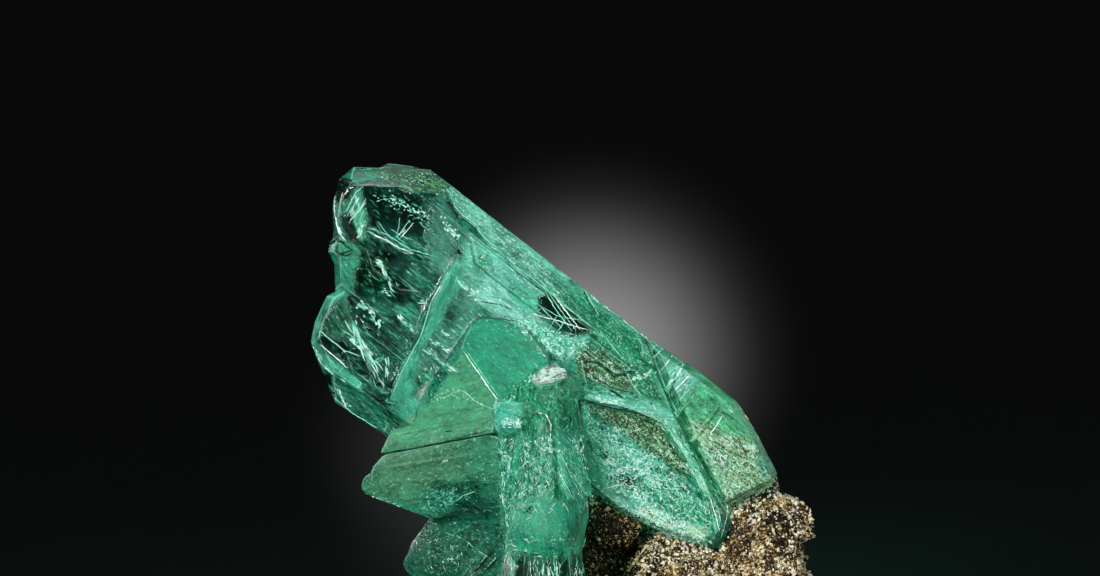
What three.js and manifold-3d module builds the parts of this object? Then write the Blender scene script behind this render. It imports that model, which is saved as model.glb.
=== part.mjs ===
// Phosphophyllite specimen: one cluster of intergrown green crystals on a lump of granular rock.
// Millimetres, +Z up, seen from -Y. Crystals are laid out in an upright plane (x across, z up,
// y away from the viewer) that leans back on the flat underside of the rock.

import * as THREE from 'three';
import { ConvexGeometry } from 'three/addons/geometries/ConvexGeometry.js';
import { mergeVertices } from 'three/addons/utils/BufferGeometryUtils.js';
import Module from 'manifold-3d';

const wasm = await Module();
wasm.setup();

// Driving dimensions, in millimetres and degrees.
const LEAN = 8;
const AXIS_FALL = 37.9;
const CONTACT_GAP = 0.3;
const MAIN_FRONT = -10;
const MAIN_BACK = 8;
const TWIN_FRONT = -8.6;

const BLOCK_SIDES = 30;
const BLOCK_UNEVEN = 0.1;
const HOLLOW_SIDES = 20;
const FACE_TURN = 0.35;
const CHIPS = { count: 8, smallest: 3, largest: 7, sides: 12 };
const GRAINS = { count: 10, smallest: 0.9, largest: 2.2, sides: 7 };
const CRUST_SUNK = 0.34;
const CRUST_UNEVEN = 0.2;
const CRUST_BREADTH = [0.8, 1.3];
const CRUST_HEIGHT = [0.7, 1.1];

const CRYSTAL_COLOUR = 0x43a583;
const ROCK_COLOUR = 0x6b5636;

// Helpers: solids bounded by flat faces.

function manifoldOf(geometry) {
  const bare = geometry.clone();
  bare.deleteAttribute('normal');
  bare.deleteAttribute('uv');
  const merged = mergeVertices(bare, 1e-5);
  return new wasm.Manifold(new wasm.Mesh({
    numProp: 3,
    vertProperties: new Float32Array(merged.attributes.position.array),
    triVerts: new Uint32Array(merged.index.array),
  }));
}

// A face is a unit normal and its distance from the origin; the solid lies behind every face.
function face(nx, ny, nz, point) {
  const normal = new THREE.Vector3(nx, ny, nz).normalize();
  return { normal, reach: normal.dot(point) };
}

// The corners where three faces meet and no other face cuts off, hulled into a closed geometry.
function solidBehind(faces, growth = 0) {
  const corners = [];
  for (let i = 0; i < faces.length; i++) {
    for (let j = i + 1; j < faces.length; j++) {
      const ridge = faces[i].normal.clone().cross(faces[j].normal);
      if (ridge.lengthSq() < 1e-8) continue;
      for (let k = j + 1; k < faces.length; k++) {
        const volume = ridge.dot(faces[k].normal);
        if (Math.abs(volume) < 1e-5) continue;
        const corner = faces[j].normal.clone().cross(faces[k].normal)
          .multiplyScalar(faces[i].reach + growth)
          .addScaledVector(faces[k].normal.clone().cross(faces[i].normal), faces[j].reach + growth)
          .addScaledVector(ridge, faces[k].reach + growth)
          .divideScalar(volume);
        const inside = faces.every((f) => f.normal.dot(corner) <= f.reach + growth + 1e-5);
        const fresh = corners.every((c) => c.distanceToSquared(corner) > 1e-6);
        if (inside && fresh) corners.push(corner);
      }
    }
  }
  return new ConvexGeometry(corners);
}

// The faces of the hull of a list of [x, z, y] points.
function wedge(points) {
  const corners = points.map(([x, z, y]) => new THREE.Vector3(x, y, z));
  const flat = new ConvexGeometry(corners).attributes.position;
  const faces = [];
  const [a, b, c] = [new THREE.Vector3(), new THREE.Vector3(), new THREE.Vector3()];
  for (let i = 0; i < flat.count; i += 3) {
    a.fromBufferAttribute(flat, i);
    b.fromBufferAttribute(flat, i + 1);
    c.fromBufferAttribute(flat, i + 2);
    const normal = b.clone().sub(a).cross(c.clone().sub(a)).normalize();
    const known = faces.some((f) => f.normal.dot(normal) > 0.99999);
    if (!known) faces.push({ normal, reach: normal.dot(a) });
  }
  return faces;
}

// A tabular crystal. Its outline is a list of [x, z, front bevel, back bevel], where the bevels
// belong to the edge that starts there and are measured across the picture plane. Front and back
// are [depth, slope across, slope up]; the girdle is the depth range of the upright side faces.
function tablet({ outline, front, back, girdle }) {
  const centre = new THREE.Vector2();
  outline.forEach(([x, z]) => centre.add(new THREE.Vector2(x, z)));
  centre.divideScalar(outline.length);
  const middle = new THREE.Vector3(centre.x, 0, centre.y);
  const faces = [
    face(front[1] ?? 0, -1, front[2] ?? 0, middle.clone().setY(front[0])),
    face(back[1] ?? 0, 1, back[2] ?? 0, middle.clone().setY(back[0])),
  ];
  outline.forEach(([x, z, frontBevel = 1, backBevel = 1], i) => {
    const [nextX, nextZ] = outline[(i + 1) % outline.length];
    const out = new THREE.Vector2(nextZ - z, x - nextX).normalize();
    if (out.dot(new THREE.Vector2(x, z).sub(centre)) < 0) out.negate();
    const frontEdge = new THREE.Vector3(x, girdle[0], z);
    const backEdge = new THREE.Vector3(x, girdle[1], z);
    const frontDrop = girdle[0] - front[0];
    const backDrop = back[0] - girdle[1];
    faces.push(face(out.x, 0, out.y, frontEdge));
    faces.push(face(out.x * frontDrop, -frontBevel, out.y * frontDrop, frontEdge));
    faces.push(face(out.x * backDrop, backBevel, out.y * backDrop, backEdge));
  });
  return faces;
}

// An upright prism of the column: an elongated six-sided section with a slanted top.
function prism({ x, y, width, depth, top, foot, tilt = 0, turn = 0, slope = [0, -0.5] }) {
  const faces = [];
  const lean = Math.tan(THREE.MathUtils.degToRad(tilt));
  for (let i = 0; i < 6; i++) {
    const angle = THREE.MathUtils.degToRad(turn + 30 + 60 * i);
    const nx = Math.cos(angle);
    const ny = Math.sin(angle);
    const radius = 0.5 * Math.hypot(width * nx, depth * ny);
    const edge = new THREE.Vector3(x + nx * radius, y + ny * radius, 0.5 * (top + foot));
    faces.push(face(nx, ny, -nx * lean, edge));
  }
  faces.push(face(slope[0], slope[1], 1, new THREE.Vector3(x, y, top)));
  faces.push(face(0, 0, -1, new THREE.Vector3(x, y, foot)));
  return faces;
}

// Main crystal.

const UPPER_SHAFT = tablet({
  outline: [
    [-31.6, 70.2, 1.6, 6], [-29.6, 71.9, 2.6, 8], [-18.9, 71.5, 3.7, 5.5], [11.9, 47.6, 1.6, 2],
    [23.1, 25.4, 1.4, 2], [23.0, 20.4, 1.6, 2], [21.1, 18.0, 1.4, 2], [14.6, 20.2, 1.2, 2],
    [7.7, 23.5, 1, 4], [-32.2, 54.6, 0.8, 7], [-32.6, 66.6, 1.0, 5],
  ],
  front: [MAIN_FRONT, 0.015, 0.01],
  back: [MAIN_BACK, 0.04, 0.02],
  girdle: [-6.2, 2.0],
});

const LOWER_SHAFT = tablet({
  outline: [
    [-33.4, 53.8, 1.0, 4], [-35.1, 50.1, 1.0, 6], [-35.7, 47.3, 1.0, 7], [-34.3, 43.8, 1.4, 5],
    [-32.2, 38.8, 3.2, 4], [-24.9, 34.0, 3.4, 5], [-3.0, 19.6, 2, 2], [1.0, 22.0, 1, 1],
    [2.0, 32.0, 1, 1], [-28.0, 56.6, 0.6, 2],
  ],
  front: [MAIN_FRONT + 0.35, 0.02, -0.01],
  back: [MAIN_BACK - 2.0, -0.03, 0.06],
  girdle: [-5.0, 1.0],
});

const SIDE_KNOB = tablet({
  outline: [
    [-31.2, 63.2, 1, 1], [-32.9, 61.4, 1, 1], [-33.2, 60.0, 1, 1], [-32.4, 58.4, 1, 1],
    [-31.4, 56.6, 1, 1], [-26.5, 57.5, 1, 1], [-26.5, 62.0, 1, 1],
  ],
  front: [-9.4, -0.25, 0.12],
  back: [2.5],
  girdle: [-7.4, 0],
});

const TOP_CAP = tablet({
  outline: [
    [-26.9, 71.4, 0.8, 1], [-24.8, 72.4, 1.6, 1], [-21.4, 72.0, 1.4, 1], [-18.4, 71.1, 1, 1],
    [-18.0, 68.8, 1, 1], [-26.0, 68.6, 1, 1],
  ],
  front: [-7.6, 0, 0.35],
  back: [5.5],
  girdle: [-5.4, 2.5],
});

// Growth ledges: thin raised plates on the front of the main crystal, along its length.
const along = new THREE.Vector2(
  Math.cos(THREE.MathUtils.degToRad(AXIS_FALL)),
  -Math.sin(THREE.MathUtils.degToRad(AXIS_FALL)),
);
const across = new THREE.Vector2(along.y, -along.x);

function ledge({ x, z, length, width, rise, skew = 0.5 }) {
  const start = new THREE.Vector2(x, z);
  const corner = (u, v) => start.clone().addScaledVector(along, u).addScaledVector(across, v);
  const shape = [
    corner(0, 0), corner(length, 0), corner(length - skew * width, width), corner(skew * width, width),
  ];
  return tablet({
    outline: shape.map((p) => [p.x, p.y, 0.35, 0.5]),
    front: [MAIN_FRONT - rise, 0.015, 0.01],
    back: [MAIN_FRONT + 2],
    girdle: [MAIN_FRONT + 0.2, MAIN_FRONT + 1.5],
  });
}

const LEDGES = [
  ledge({ x: -13.8, z: 63.0, length: 24, width: 3.2, rise: 0.35, skew: 1.2 }),
  ledge({ x: -28.6, z: 61.2, length: 12, width: 2.2, rise: 0.3, skew: 1.6 }),
  ledge({ x: -29.5, z: 51.6, length: 14, width: 1.6, rise: 0.3, skew: 2.0 }),
  ledge({ x: -31.2, z: 46.4, length: 11, width: 1.8, rise: 0.45, skew: 1.5 }),
  ledge({ x: 0.8, z: 50.6, length: 12, width: 2.6, rise: 0.4, skew: 0.9 }),
];

// The depth of the foremost surface of some crystals at a place in the picture plane.
function frontOf(crystals, x, z) {
  const depths = crystals.map((faces) => Math.max(...faces
    .filter(({ normal }) => normal.y < -0.01)
    .map(({ normal, reach }) => (reach - normal.x * x - normal.z * z) / normal.y)));
  return Math.min(...depths);
}

// A low bevelled ridge between two [x, z, width] stations on the front of some crystals.
function ridge(crystals, start, end, rise) {
  const run = new THREE.Vector2(end[0] - start[0], end[1] - start[1]).normalize();
  const side = new THREE.Vector2(run.y, -run.x);
  const points = [];
  for (const [x, z, width] of [start, end]) {
    for (const [share, height] of [[-0.5, -0.5], [-0.26, rise], [0.26, rise], [0.5, -0.5]]) {
      const px = x + side.x * width * share;
      const pz = z + side.y * width * share;
      points.push([px, pz, frontOf(crystals, px, pz) - height]);
    }
  }
  return wedge(points);
}

// The pale ridge that crosses the face, in three straight lengths.
const SHAFTS = [UPPER_SHAFT, LOWER_SHAFT];
const PALE_RIDGE = [
  ridge(SHAFTS, [-14.6, 59.0, 1.0], [-18.9, 51.8, 2.0], 0.5),
  ridge(SHAFTS, [-18.9, 51.8, 2.0], [-21.8, 45.0, 2.1], 0.5),
  ridge(SHAFTS, [-21.8, 45.0, 2.1], [-24.6, 38.6, 2.6], 0.5),
];

// Twin limb, and the groove where it meets the main crystal.

const TWIN_LIMB = tablet({
  outline: [
    [9.5, 49.2, 0.9, 2], [18.9, 43.1, 1.1, 2], [24.3, 38.8, 1.2, 2], [27.0, 34.4, 1.2, 2],
    [29.8, 28.9, 0.9, 1], [29.1, 27.3, 1, 1], [15.0, 20.4, 1, 1], [10.0, 24.0, 1, 1],
  ],
  front: [TWIN_FRONT, 0.09, 0.03],
  back: [6.0, -0.05, 0],
  girdle: [-5.6, 3.0],
});

function grooveLength([x1, z1], [x2, z2], depth, width) {
  const run = new THREE.Vector2(x2 - x1, z2 - z1).normalize();
  const side = new THREE.Vector2(run.y, -run.x);
  const points = [];
  for (const [x, z] of [[x1 - run.x, z1 - run.y], [x2 + run.x, z2 + run.y]]) {
    points.push([x, z, MAIN_FRONT + depth]);
    for (const s of [-1, 1]) {
      points.push([x + side.x * width * s, z + side.y * width * s, MAIN_FRONT - 2]);
    }
  }
  return wedge(points);
}

const TWIN_GROOVE = [
  grooveLength([11.0, 49.4], [16.2, 37.2], 3.4, 1.6),
  grooveLength([16.2, 37.2], [23.2, 22.6], 3.6, 1.6),
];

// Short hatching on the twin limb, square to its upper edge.
const TWIN_HATCHING = [
  ridge([TWIN_LIMB], [15.4, 43.4, 0.5], [13.9, 39.4, 1.0], 0.3),
  ridge([TWIN_LIMB], [18.2, 41.2, 0.6], [15.3, 36.6, 1.1], 0.3),
  ridge([TWIN_LIMB], [21.6, 38.6, 0.5], [17.6, 33.2, 0.9], 0.25),
];

// The sunken lower right face, where the rock shows through the thinner crystal.
const SUNKEN_FACE = tablet({
  outline: [
    [1.4, 39.6, 0.9, 1], [8.4, 38.2, 0.9, 1], [13.4, 36.2, 1.0, 1], [16.2, 32.4, 1.2, 1],
    [20.4, 24.2, 1.2, 1], [21.0, 19.4, 1, 1], [14.0, 15.0, 1, 1], [0.0, 15.0, 1, 1],
  ],
  front: [MAIN_FRONT - 3],
  back: [MAIN_FRONT + 1.3, 0, 0.02],
  girdle: [MAIN_FRONT - 2, MAIN_FRONT + 0.3],
});

const WINDOW_RIM = tablet({
  outline: [
    [2.4, 44.6, 0.6, 1], [7.8, 45.6, 0.6, 1], [8.8, 41.0, 0.6, 1], [3.4, 40.4, 0.6, 1],
  ],
  front: [MAIN_FRONT - 2],
  back: [MAIN_FRONT + 0.7],
  girdle: [MAIN_FRONT - 1.5, MAIN_FRONT + 0.1],
});

// Blades in front of the main crystal, as hulls of [x, z, y] corners.

const UPPER_BLADE = wedge([
  [-12.4, 51.2, -9.6], [-6.4, 50.6, -9.6], [-2.4, 45.0, -15.9], [-9.5, 39.3, -19.2],
  [-14.4, 46.7, -12.0], [-19.2, 39.4, -10.2], [-24.8, 34.2, -6.8], [-26.0, 31.7, -6.0],
  [-10.1, 34.8, -20.2], [-1.5, 37.0, -18.6],
  [-12.2, 50.0, -5], [-2.0, 46.0, -5], [-1.5, 33.0, -5], [-25.4, 31.7, -1.0], [-23.0, 35.0, -1.0],
]);

const LOWER_BLADE = wedge([
  [-25.6, 31.5, -6.9], [-10.1, 34.6, -20.9], [-4.0, 33.0, -20.6], [-27.2, 29.6, -5.9],
  [-27.3, 25.6, -4.6], [-23.1, 24.3, -8.4], [-18.8, 22.7, -12.2], [-12.2, 23.4, -18.4],
  [-4.0, 26.0, -20.0], [-25.0, 31.0, -1.0], [-26.4, 27.0, -1.0], [-21.0, 24.6, -0.5],
  [-14.0, 23.2, -4.0], [-4.0, 24.0, -4.0],
]);

const BLADE_TIP = wedge([
  [-27.1, 29.0, -5.2], [-28.3, 28.3, -4.4], [-28.8, 26.7, -4.0], [-28.3, 26.1, -3.8],
  [-26.8, 25.5, -4.9], [-24.0, 28.0, -8.0], [-24.0, 25.0, -7.4],
  [-27.0, 28.6, -1.6], [-28.0, 26.6, -2.0], [-24.0, 26.0, -1.0],
]);

const DARK_BLADE = wedge([
  [-18.9, 22.8, -8.4], [-15.0, 25.3, -12.4], [-11.0, 27.5, -15.6], [-4.0, 27.0, -18.6],
  [-19.8, 21.2, -7.6], [-21.8, 18.9, -5.6], [-22.9, 16.0, -4.8], [-21.6, 14.4, -5.8],
  [-16.0, 8.4, -11.0], [-9.4, 14.2, -19.4], [-12.0, 5.0, -14.0], [-2.0, 4.0, -16.0],
  [-18.0, 21.6, -1.0], [-21.4, 16.0, -0.5], [-12.0, 5.0, -2.0], [-3.0, 24.0, -2.0], [-2.0, 4.0, -2.0],
]);

// Striations along the blades.
const STRIATIONS = [
  ridge([UPPER_BLADE], [-22.8, 34.6, 0.5], [-10.6, 37.2, 1.1], 0.25),
  ridge([UPPER_BLADE], [-19.6, 36.8, 0.5], [-11.4, 38.7, 0.8], 0.25),
  ridge([LOWER_BLADE], [-25.4, 29.6, 0.5], [-11.4, 31.8, 1.2], 0.25),
  ridge([LOWER_BLADE], [-25.6, 27.6, 0.5], [-13.0, 28.4, 1.3], 0.3),
  ridge([LOWER_BLADE], [-23.6, 25.6, 0.5], [-16.4, 25.5, 0.9], 0.25),
  ridge([DARK_BLADE], [-19.8, 18.6, 0.5], [-13.6, 21.8, 1.1], 0.3),
  ridge([DARK_BLADE], [-20.2, 15.2, 0.5], [-14.4, 17.8, 1.0], 0.3),
];

const DARK_BLADE_SPUR = wedge([
  [-14.2, 14.6, -14.6], [-11.8, 17.8, -17.2], [-8.0, 19.4, -19.0], [-10.6, 14.6, -19.2],
  [-13.0, 7.0, -16.4], [-7.0, 7.0, -19.0], [-12.0, 16.0, -8.0], [-7.0, 18.0, -8.0],
  [-7.0, 7.0, -8.0], [-13.0, 7.0, -8.0],
]);

// Centre column of parallel prisms.

const COLUMN = [
  prism({ x: -5.6, y: -17.2, width: 4.4, depth: 9.6, top: 36.8, foot: 5, tilt: 3, turn: 8 }),
  prism({ x: -3.3, y: -17.0, width: 5.4, depth: 12.2, top: 40.6, foot: 4, tilt: 1, slope: [-0.3, -0.6] }),
  prism({ x: -1.0, y: -16.4, width: 4.0, depth: 11.6, top: 42.2, foot: 25.5, tilt: -8, turn: -6 }),
  prism({ x: 0.3, y: -14.6, width: 3.0, depth: 9.0, top: 27.9, foot: 17.4, tilt: 10, slope: [0.5, -0.4] }),
  prism({ x: -0.2, y: -15.2, width: 2.2, depth: 9.4, top: 38.8, foot: 24, tilt: -7, slope: [0.8, -0.3] }),
  prism({ x: -0.4, y: -14.8, width: 2.6, depth: 8.8, top: 22.0, foot: 4, slope: [0.4, -0.4] }),
  prism({ x: -6.6, y: -16.2, width: 2.2, depth: 6.4, top: 30.4, foot: 5, tilt: 1, slope: [-0.7, -0.4] }),
  prism({ x: -5.0, y: -20.6, width: 2.0, depth: 4.2, top: 34.0, foot: 8, tilt: 5, slope: [-0.4, -1.2] }),
  prism({ x: -1.6, y: -21.0, width: 1.8, depth: 4.4, top: 37.0, foot: 8, tilt: -3, slope: [0.3, -1.4] }),
  prism({ x: 0.3, y: -19.6, width: 1.6, depth: 5.2, top: 33.5, foot: 8, tilt: -6, slope: [0.6, -1.0] }),
  prism({ x: 1.6, y: -17.4, width: 1.4, depth: 4.8, top: 31.0, foot: 24, tilt: -6, slope: [0.6, -0.8] }),
  prism({ x: -7.2, y: -19.4, width: 2.8, depth: 6.4, top: 19.4, foot: 4, tilt: 10, slope: [-0.5, -1.0] }),
  prism({ x: -4.6, y: -20.2, width: 2.4, depth: 7.6, top: 17.4, foot: 4, tilt: 2, slope: [0.3, -1.4] }),
  prism({ x: -1.7, y: -20.4, width: 2.8, depth: 7.6, top: 18.9, foot: 4, slope: [-0.1, -0.9] }),
  prism({ x: 0.4, y: -19.4, width: 2.8, depth: 7.0, top: 17.6, foot: 4, tilt: -1, slope: [0.6, -1.3] }),
];

// The smooth swelling low on the column, as a hull of [x, z, y] corners.
const COLUMN_BULGE = wedge([
  [-7.4, 20.2, -21.0], [-5.6, 18.5, -21.4], [-2.6, 17.9, -21.6], [0.4, 18.2, -21.2],
  [1.9, 19.8, -20.4], [-8.2, 23.6, -20.0], [-7.2, 26.4, -19.6], [2.6, 22.6, -19.8],
  [1.8, 25.8, -19.6], [-4.6, 27.8, -20.6], [-2.2, 28.8, -21.0], [0.0, 27.8, -20.6],
  [-5.8, 21.4, -23.8], [-4.4, 20.0, -24.4], [-2.4, 19.5, -24.8], [-0.4, 19.8, -24.3],
  [0.6, 21.4, -23.6], [0.0, 24.0, -23.6], [-2.2, 25.6, -23.9], [-5.0, 24.2, -23.6],
  [-6.0, 20.0, -14.0], [1.0, 20.0, -14.0], [-5.0, 26.0, -14.0], [0.5, 26.0, -14.0],
]);

const SIDE_CRYSTAL = wedge([
  [-9.5, 38.8, -18.0], [-7.0, 39.0, -19.6], [-5.6, 37.6, -20.6], [-9.9, 37.4, -19.4],
  [-9.9, 35.4, -20.6], [-8.8, 34.0, -20.4], [-6.2, 35.4, -22.4], [-7.4, 37.0, -22.2],
  [-8.8, 38.4, -14.0], [-9.4, 35.0, -14.0], [-6.0, 33.6, -15.0], [-5.4, 38.0, -14.0],
]);

const COLUMN_CROWN = wedge([
  [-4.7, 41.9, -18.6], [-2.2, 44.0, -15.6], [0.2, 43.9, -15.4], [0.3, 42.8, -17.2],
  [-1.4, 41.3, -20.0], [-4.0, 41.0, -20.2], [-4.2, 40.0, -15.0], [0.4, 40.0, -14.0],
]);

// Back of the cluster: two parallel growths and a short blade, half sunk in the rock.

const BACK_GROWTH = [
  ledgeBehind({ x: -24.0, z: 63.0, length: 30, width: 7.0, rise: 1.6 }),
  ledgeBehind({ x: -27.0, z: 52.0, length: 26, width: 5.0, rise: 1.2 }),
  wedge([
    [-12.0, 44.0, 6], [-16.5, 33.0, 10], [-17.5, 26.0, 8.0], [-9.0, 20.0, 12.5], [-2.0, 26.0, 11],
    [-4.0, 38.0, 9], [-10.0, 42.0, 2], [-15.0, 28.0, 2], [-3.0, 24.0, 2],
  ]),
];

function ledgeBehind({ x, z, length, width, rise }) {
  const start = new THREE.Vector2(x, z);
  const corner = (u, v) => start.clone().addScaledVector(along, u).addScaledVector(across, v);
  const shape = [corner(1.5, 0), corner(length, 0), corner(length - width, width), corner(0, width)];
  return tablet({
    outline: shape.map((p) => [p.x, p.y, 0.5, 1.2]),
    front: [0],
    back: [MAIN_BACK + rise, 0.02, 0],
    girdle: [1, MAIN_BACK - 0.5],
  });
}

const ADDED = [
  UPPER_SHAFT, LOWER_SHAFT, TWIN_LIMB, SIDE_KNOB, TOP_CAP, ...LEDGES, ...PALE_RIDGE,
  ...TWIN_HATCHING, UPPER_BLADE, LOWER_BLADE, BLADE_TIP, DARK_BLADE, DARK_BLADE_SPUR,
  ...STRIATIONS, ...COLUMN, COLUMN_BULGE, SIDE_CRYSTAL, COLUMN_CROWN, ...BACK_GROWTH,
];

function joined(list, growth = 0) {
  return list
    .map((faces) => manifoldOf(solidBehind(faces, growth)))
    .reduce((whole, piece) => whole.add(piece));
}

function crystalCluster() {
  const cut = [...SHAFTS, TWIN_LIMB];
  const cuts = joined([SUNKEN_FACE, WINDOW_RIM, ...TWIN_GROOVE]);
  const rest = joined(ADDED.filter((faces) => !cut.includes(faces)));
  return joined(cut).subtract(cuts).add(rest);
}

// Rock: angular blocks crusted with smaller chips and coarse grains, joined in one body.

function seeded(seed) {
  let state = seed;
  return () => {
    state = (state * 1664525 + 1013904223) % 4294967296;
    return state / 4294967296;
  };
}

const random = seeded(20);

function between(low, high) {
  return low + (high - low) * random();
}

function randomDirection() {
  const height = 2 * random() - 1;
  const angle = 2 * Math.PI * random();
  const radius = Math.sqrt(1 - height * height);
  return new THREE.Vector3(radius * Math.cos(angle), radius * Math.sin(angle), height);
}

// How far an ellipsoid reaches in a direction.
function supportOf({ width, height, depth }, n) {
  return 0.5 * Math.hypot(width * n.x, depth * n.y, height * n.z);
}

// A block is bounded by faces spread evenly round an ellipsoid, each turned and sunk by chance.
function block(place, sides, uneven) {
  const centre = new THREE.Vector3(place.x, place.y, place.z);
  const goldenAngle = Math.PI * (3 - Math.sqrt(5));
  const start = 2 * Math.PI * random();
  const faces = [];
  for (let i = 0; i < sides; i++) {
    const height = 1 - (2 * i + 1) / sides;
    const radius = Math.sqrt(1 - height * height);
    const angle = start + goldenAngle * i;
    const normal = new THREE.Vector3(radius * Math.cos(angle), radius * Math.sin(angle), height)
      .addScaledVector(randomDirection(), FACE_TURN)
      .normalize();
    const sunk = 1 - uneven * random();
    faces.push({ normal, reach: normal.dot(centre) + supportOf(place, normal) * sunk });
  }
  return faces;
}

const BLOCKS = [
  { x: 27.0, z: 18.2, y: 1, width: 14.0, height: 18.6, depth: 20 },
  { x: 27.0, z: 7.0, y: 0, width: 20.4, height: 20.0, depth: 32 },
  { x: 16.5, z: 8.0, y: -3, width: 21.0, height: 24.0, depth: 28 },
  { x: 13.0, z: 22.0, y: 13, width: 30.0, height: 34.0, depth: 16 },
  { x: 6.0, z: 33.0, y: 13.5, width: 17.0, height: 24.0, depth: 13 },
  { x: 20.5, z: 27.0, y: 12, width: 17.0, height: 18.0, depth: 13 },
  { x: 2.5, z: 6.0, y: -10, width: 29.0, height: 14.0, depth: 28 },
  { x: -9.5, z: 4.5, y: -3, width: 25.0, height: 19.0, depth: 36 },
  { x: 2.0, z: 12.0, y: 10, width: 34.0, height: 27.0, depth: 24 },
  { x: -6.0, z: 20.0, y: 9, width: 16.0, height: 18.0, depth: 14 },
  { x: 18.0, z: 4.0, y: 11, width: 34.0, height: 16.0, depth: 25 },
  { x: 16.0, z: 3.0, y: -14, width: 26.0, height: 12.0, depth: 16 },
  { x: -4.0, z: 2.5, y: -17, width: 22.0, height: 15.5, depth: 17 },
  { x: 6.6, z: 22.6, y: -1.0, width: 8.0, height: 9.0, depth: 11 },
  { x: 2.0, z: 2.0, y: 0, width: 36.0, height: 16.0, depth: 36 },
];

const HOLLOWS = [
  { x: 7.0, z: 15.4, y: -14.0, width: 10.0, height: 10.4, depth: 19 },
  { x: 34.6, z: 18.4, y: -3.0, width: 6.0, height: 2.6, depth: 13 },
  { x: 23.0, z: 13.4, y: -13.5, width: 5.0, height: 4.4, depth: 7 },
  { x: 16.0, z: 33.0, y: 21.5, width: 9.0, height: 7.0, depth: 6 },
  { x: 0.0, z: 21.0, y: 22.0, width: 10.0, height: 7.0, depth: 6 },
];

// Smaller pieces stuck all over a block, each with its middle just under the block's surface.
function crust(place, { count, smallest, largest, sides }) {
  const pieces = [];
  for (let i = 0; i < count; i++) {
    const out = randomDirection();
    const size = smallest + (largest - smallest) * random() ** 2;
    const inset = CRUST_SUNK * size;
    pieces.push(block({
      x: place.x + out.x * (0.5 * place.width - inset),
      y: place.y + out.y * (0.5 * place.depth - inset),
      z: place.z + out.z * (0.5 * place.height - inset),
      width: size * between(...CRUST_BREADTH),
      depth: size * between(...CRUST_BREADTH),
      height: size * between(...CRUST_HEIGHT),
    }, sides, CRUST_UNEVEN));
  }
  return pieces;
}

function rock() {
  const body = BLOCKS.flatMap((place) => [
    block(place, BLOCK_SIDES, BLOCK_UNEVEN), ...crust(place, CHIPS), ...crust(place, GRAINS),
  ]);
  const hollows = HOLLOWS.map((place) => block(place, HOLLOW_SIDES, BLOCK_UNEVEN));
  return joined(body).subtract(joined(hollows));
}

// The specimen leans back, and everything under the resting plane is cut away.

function leaned(solid) {
  return solid.rotate([-LEAN, 0, 0]);
}

function aboveGround(solid) {
  const slab = new THREE.BoxGeometry(200, 200, 100).translate(0, 0, -50);
  return solid.subtract(manifoldOf(slab));
}

function geometryOf(solid) {
  const mesh = solid.getMesh();
  const geometry = new THREE.BufferGeometry();
  geometry.setAttribute('position', new THREE.BufferAttribute(new Float32Array(mesh.vertProperties), 3));
  geometry.setIndex(new THREE.BufferAttribute(new Uint32Array(mesh.triVerts), 1));
  return geometry;
}

// Crumbs that the cuts leave loose, and bubbles that they close in, are dropped with their faces.
function largestShell(geometry) {
  const index = geometry.index.array;
  const owner = Array.from({ length: geometry.attributes.position.count }, (_, i) => i);
  const root = (i) => {
    while (owner[i] !== i) i = owner[i];
    return i;
  };
  for (let i = 0; i < index.length; i += 3) {
    owner[root(index[i])] = root(index[i + 1]);
    owner[root(index[i + 1])] = root(index[i + 2]);
  }
  const shells = new Map();
  for (let i = 0; i < index.length; i += 3) {
    const shell = root(index[i]);
    if (!shells.has(shell)) shells.set(shell, []);
    shells.get(shell).push(index[i], index[i + 1], index[i + 2]);
  }
  const kept = [...shells.values()].sort((a, b) => b.length - a.length)[0];
  geometry.setIndex(kept);
  return geometry;
}

function node(name, solid, colour, roughness, metalness) {
  const material = new THREE.MeshStandardMaterial({ color: colour, roughness, metalness });
  const mesh = new THREE.Mesh(largestShell(geometryOf(solid)), material);
  mesh.name = name;
  return mesh;
}

const cluster = leaned(crystalCluster());
const clearance = leaned(joined(ADDED, CONTACT_GAP));
const matrix = aboveGround(leaned(rock()).subtract(clearance));

const specimen = new THREE.Group();
specimen.add(node('crystal_cluster', cluster, CRYSTAL_COLOUR, 0.15, 0));
specimen.add(node('matrix', matrix, ROCK_COLOUR, 0.7, 0.1));

// The origin is the middle of the specimen's footprint on the plane it rests on.
const bounds = new THREE.Box3().setFromObject(specimen);
const middle = bounds.getCenter(new THREE.Vector3());
specimen.position.set(-middle.x, -middle.y, 0);

export default specimen;
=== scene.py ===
"""Phosphophyllite specimen: clear to cloudy green crystals grown together on granular rock.

Lengths named in millimetres are laid out in the upright picture plane of the specimen: x runs to
the right, z up and y away from the viewer. That plane leans back on the rock's flat underside.
Outlines on the crystals are given in picture units, x to the right and y down, 0.14 mm each.
"""

import logging
import math
from dataclasses import dataclass, field
from enum import Enum
from typing import Any, Callable, Iterable, Optional, Sequence, Union

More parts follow.
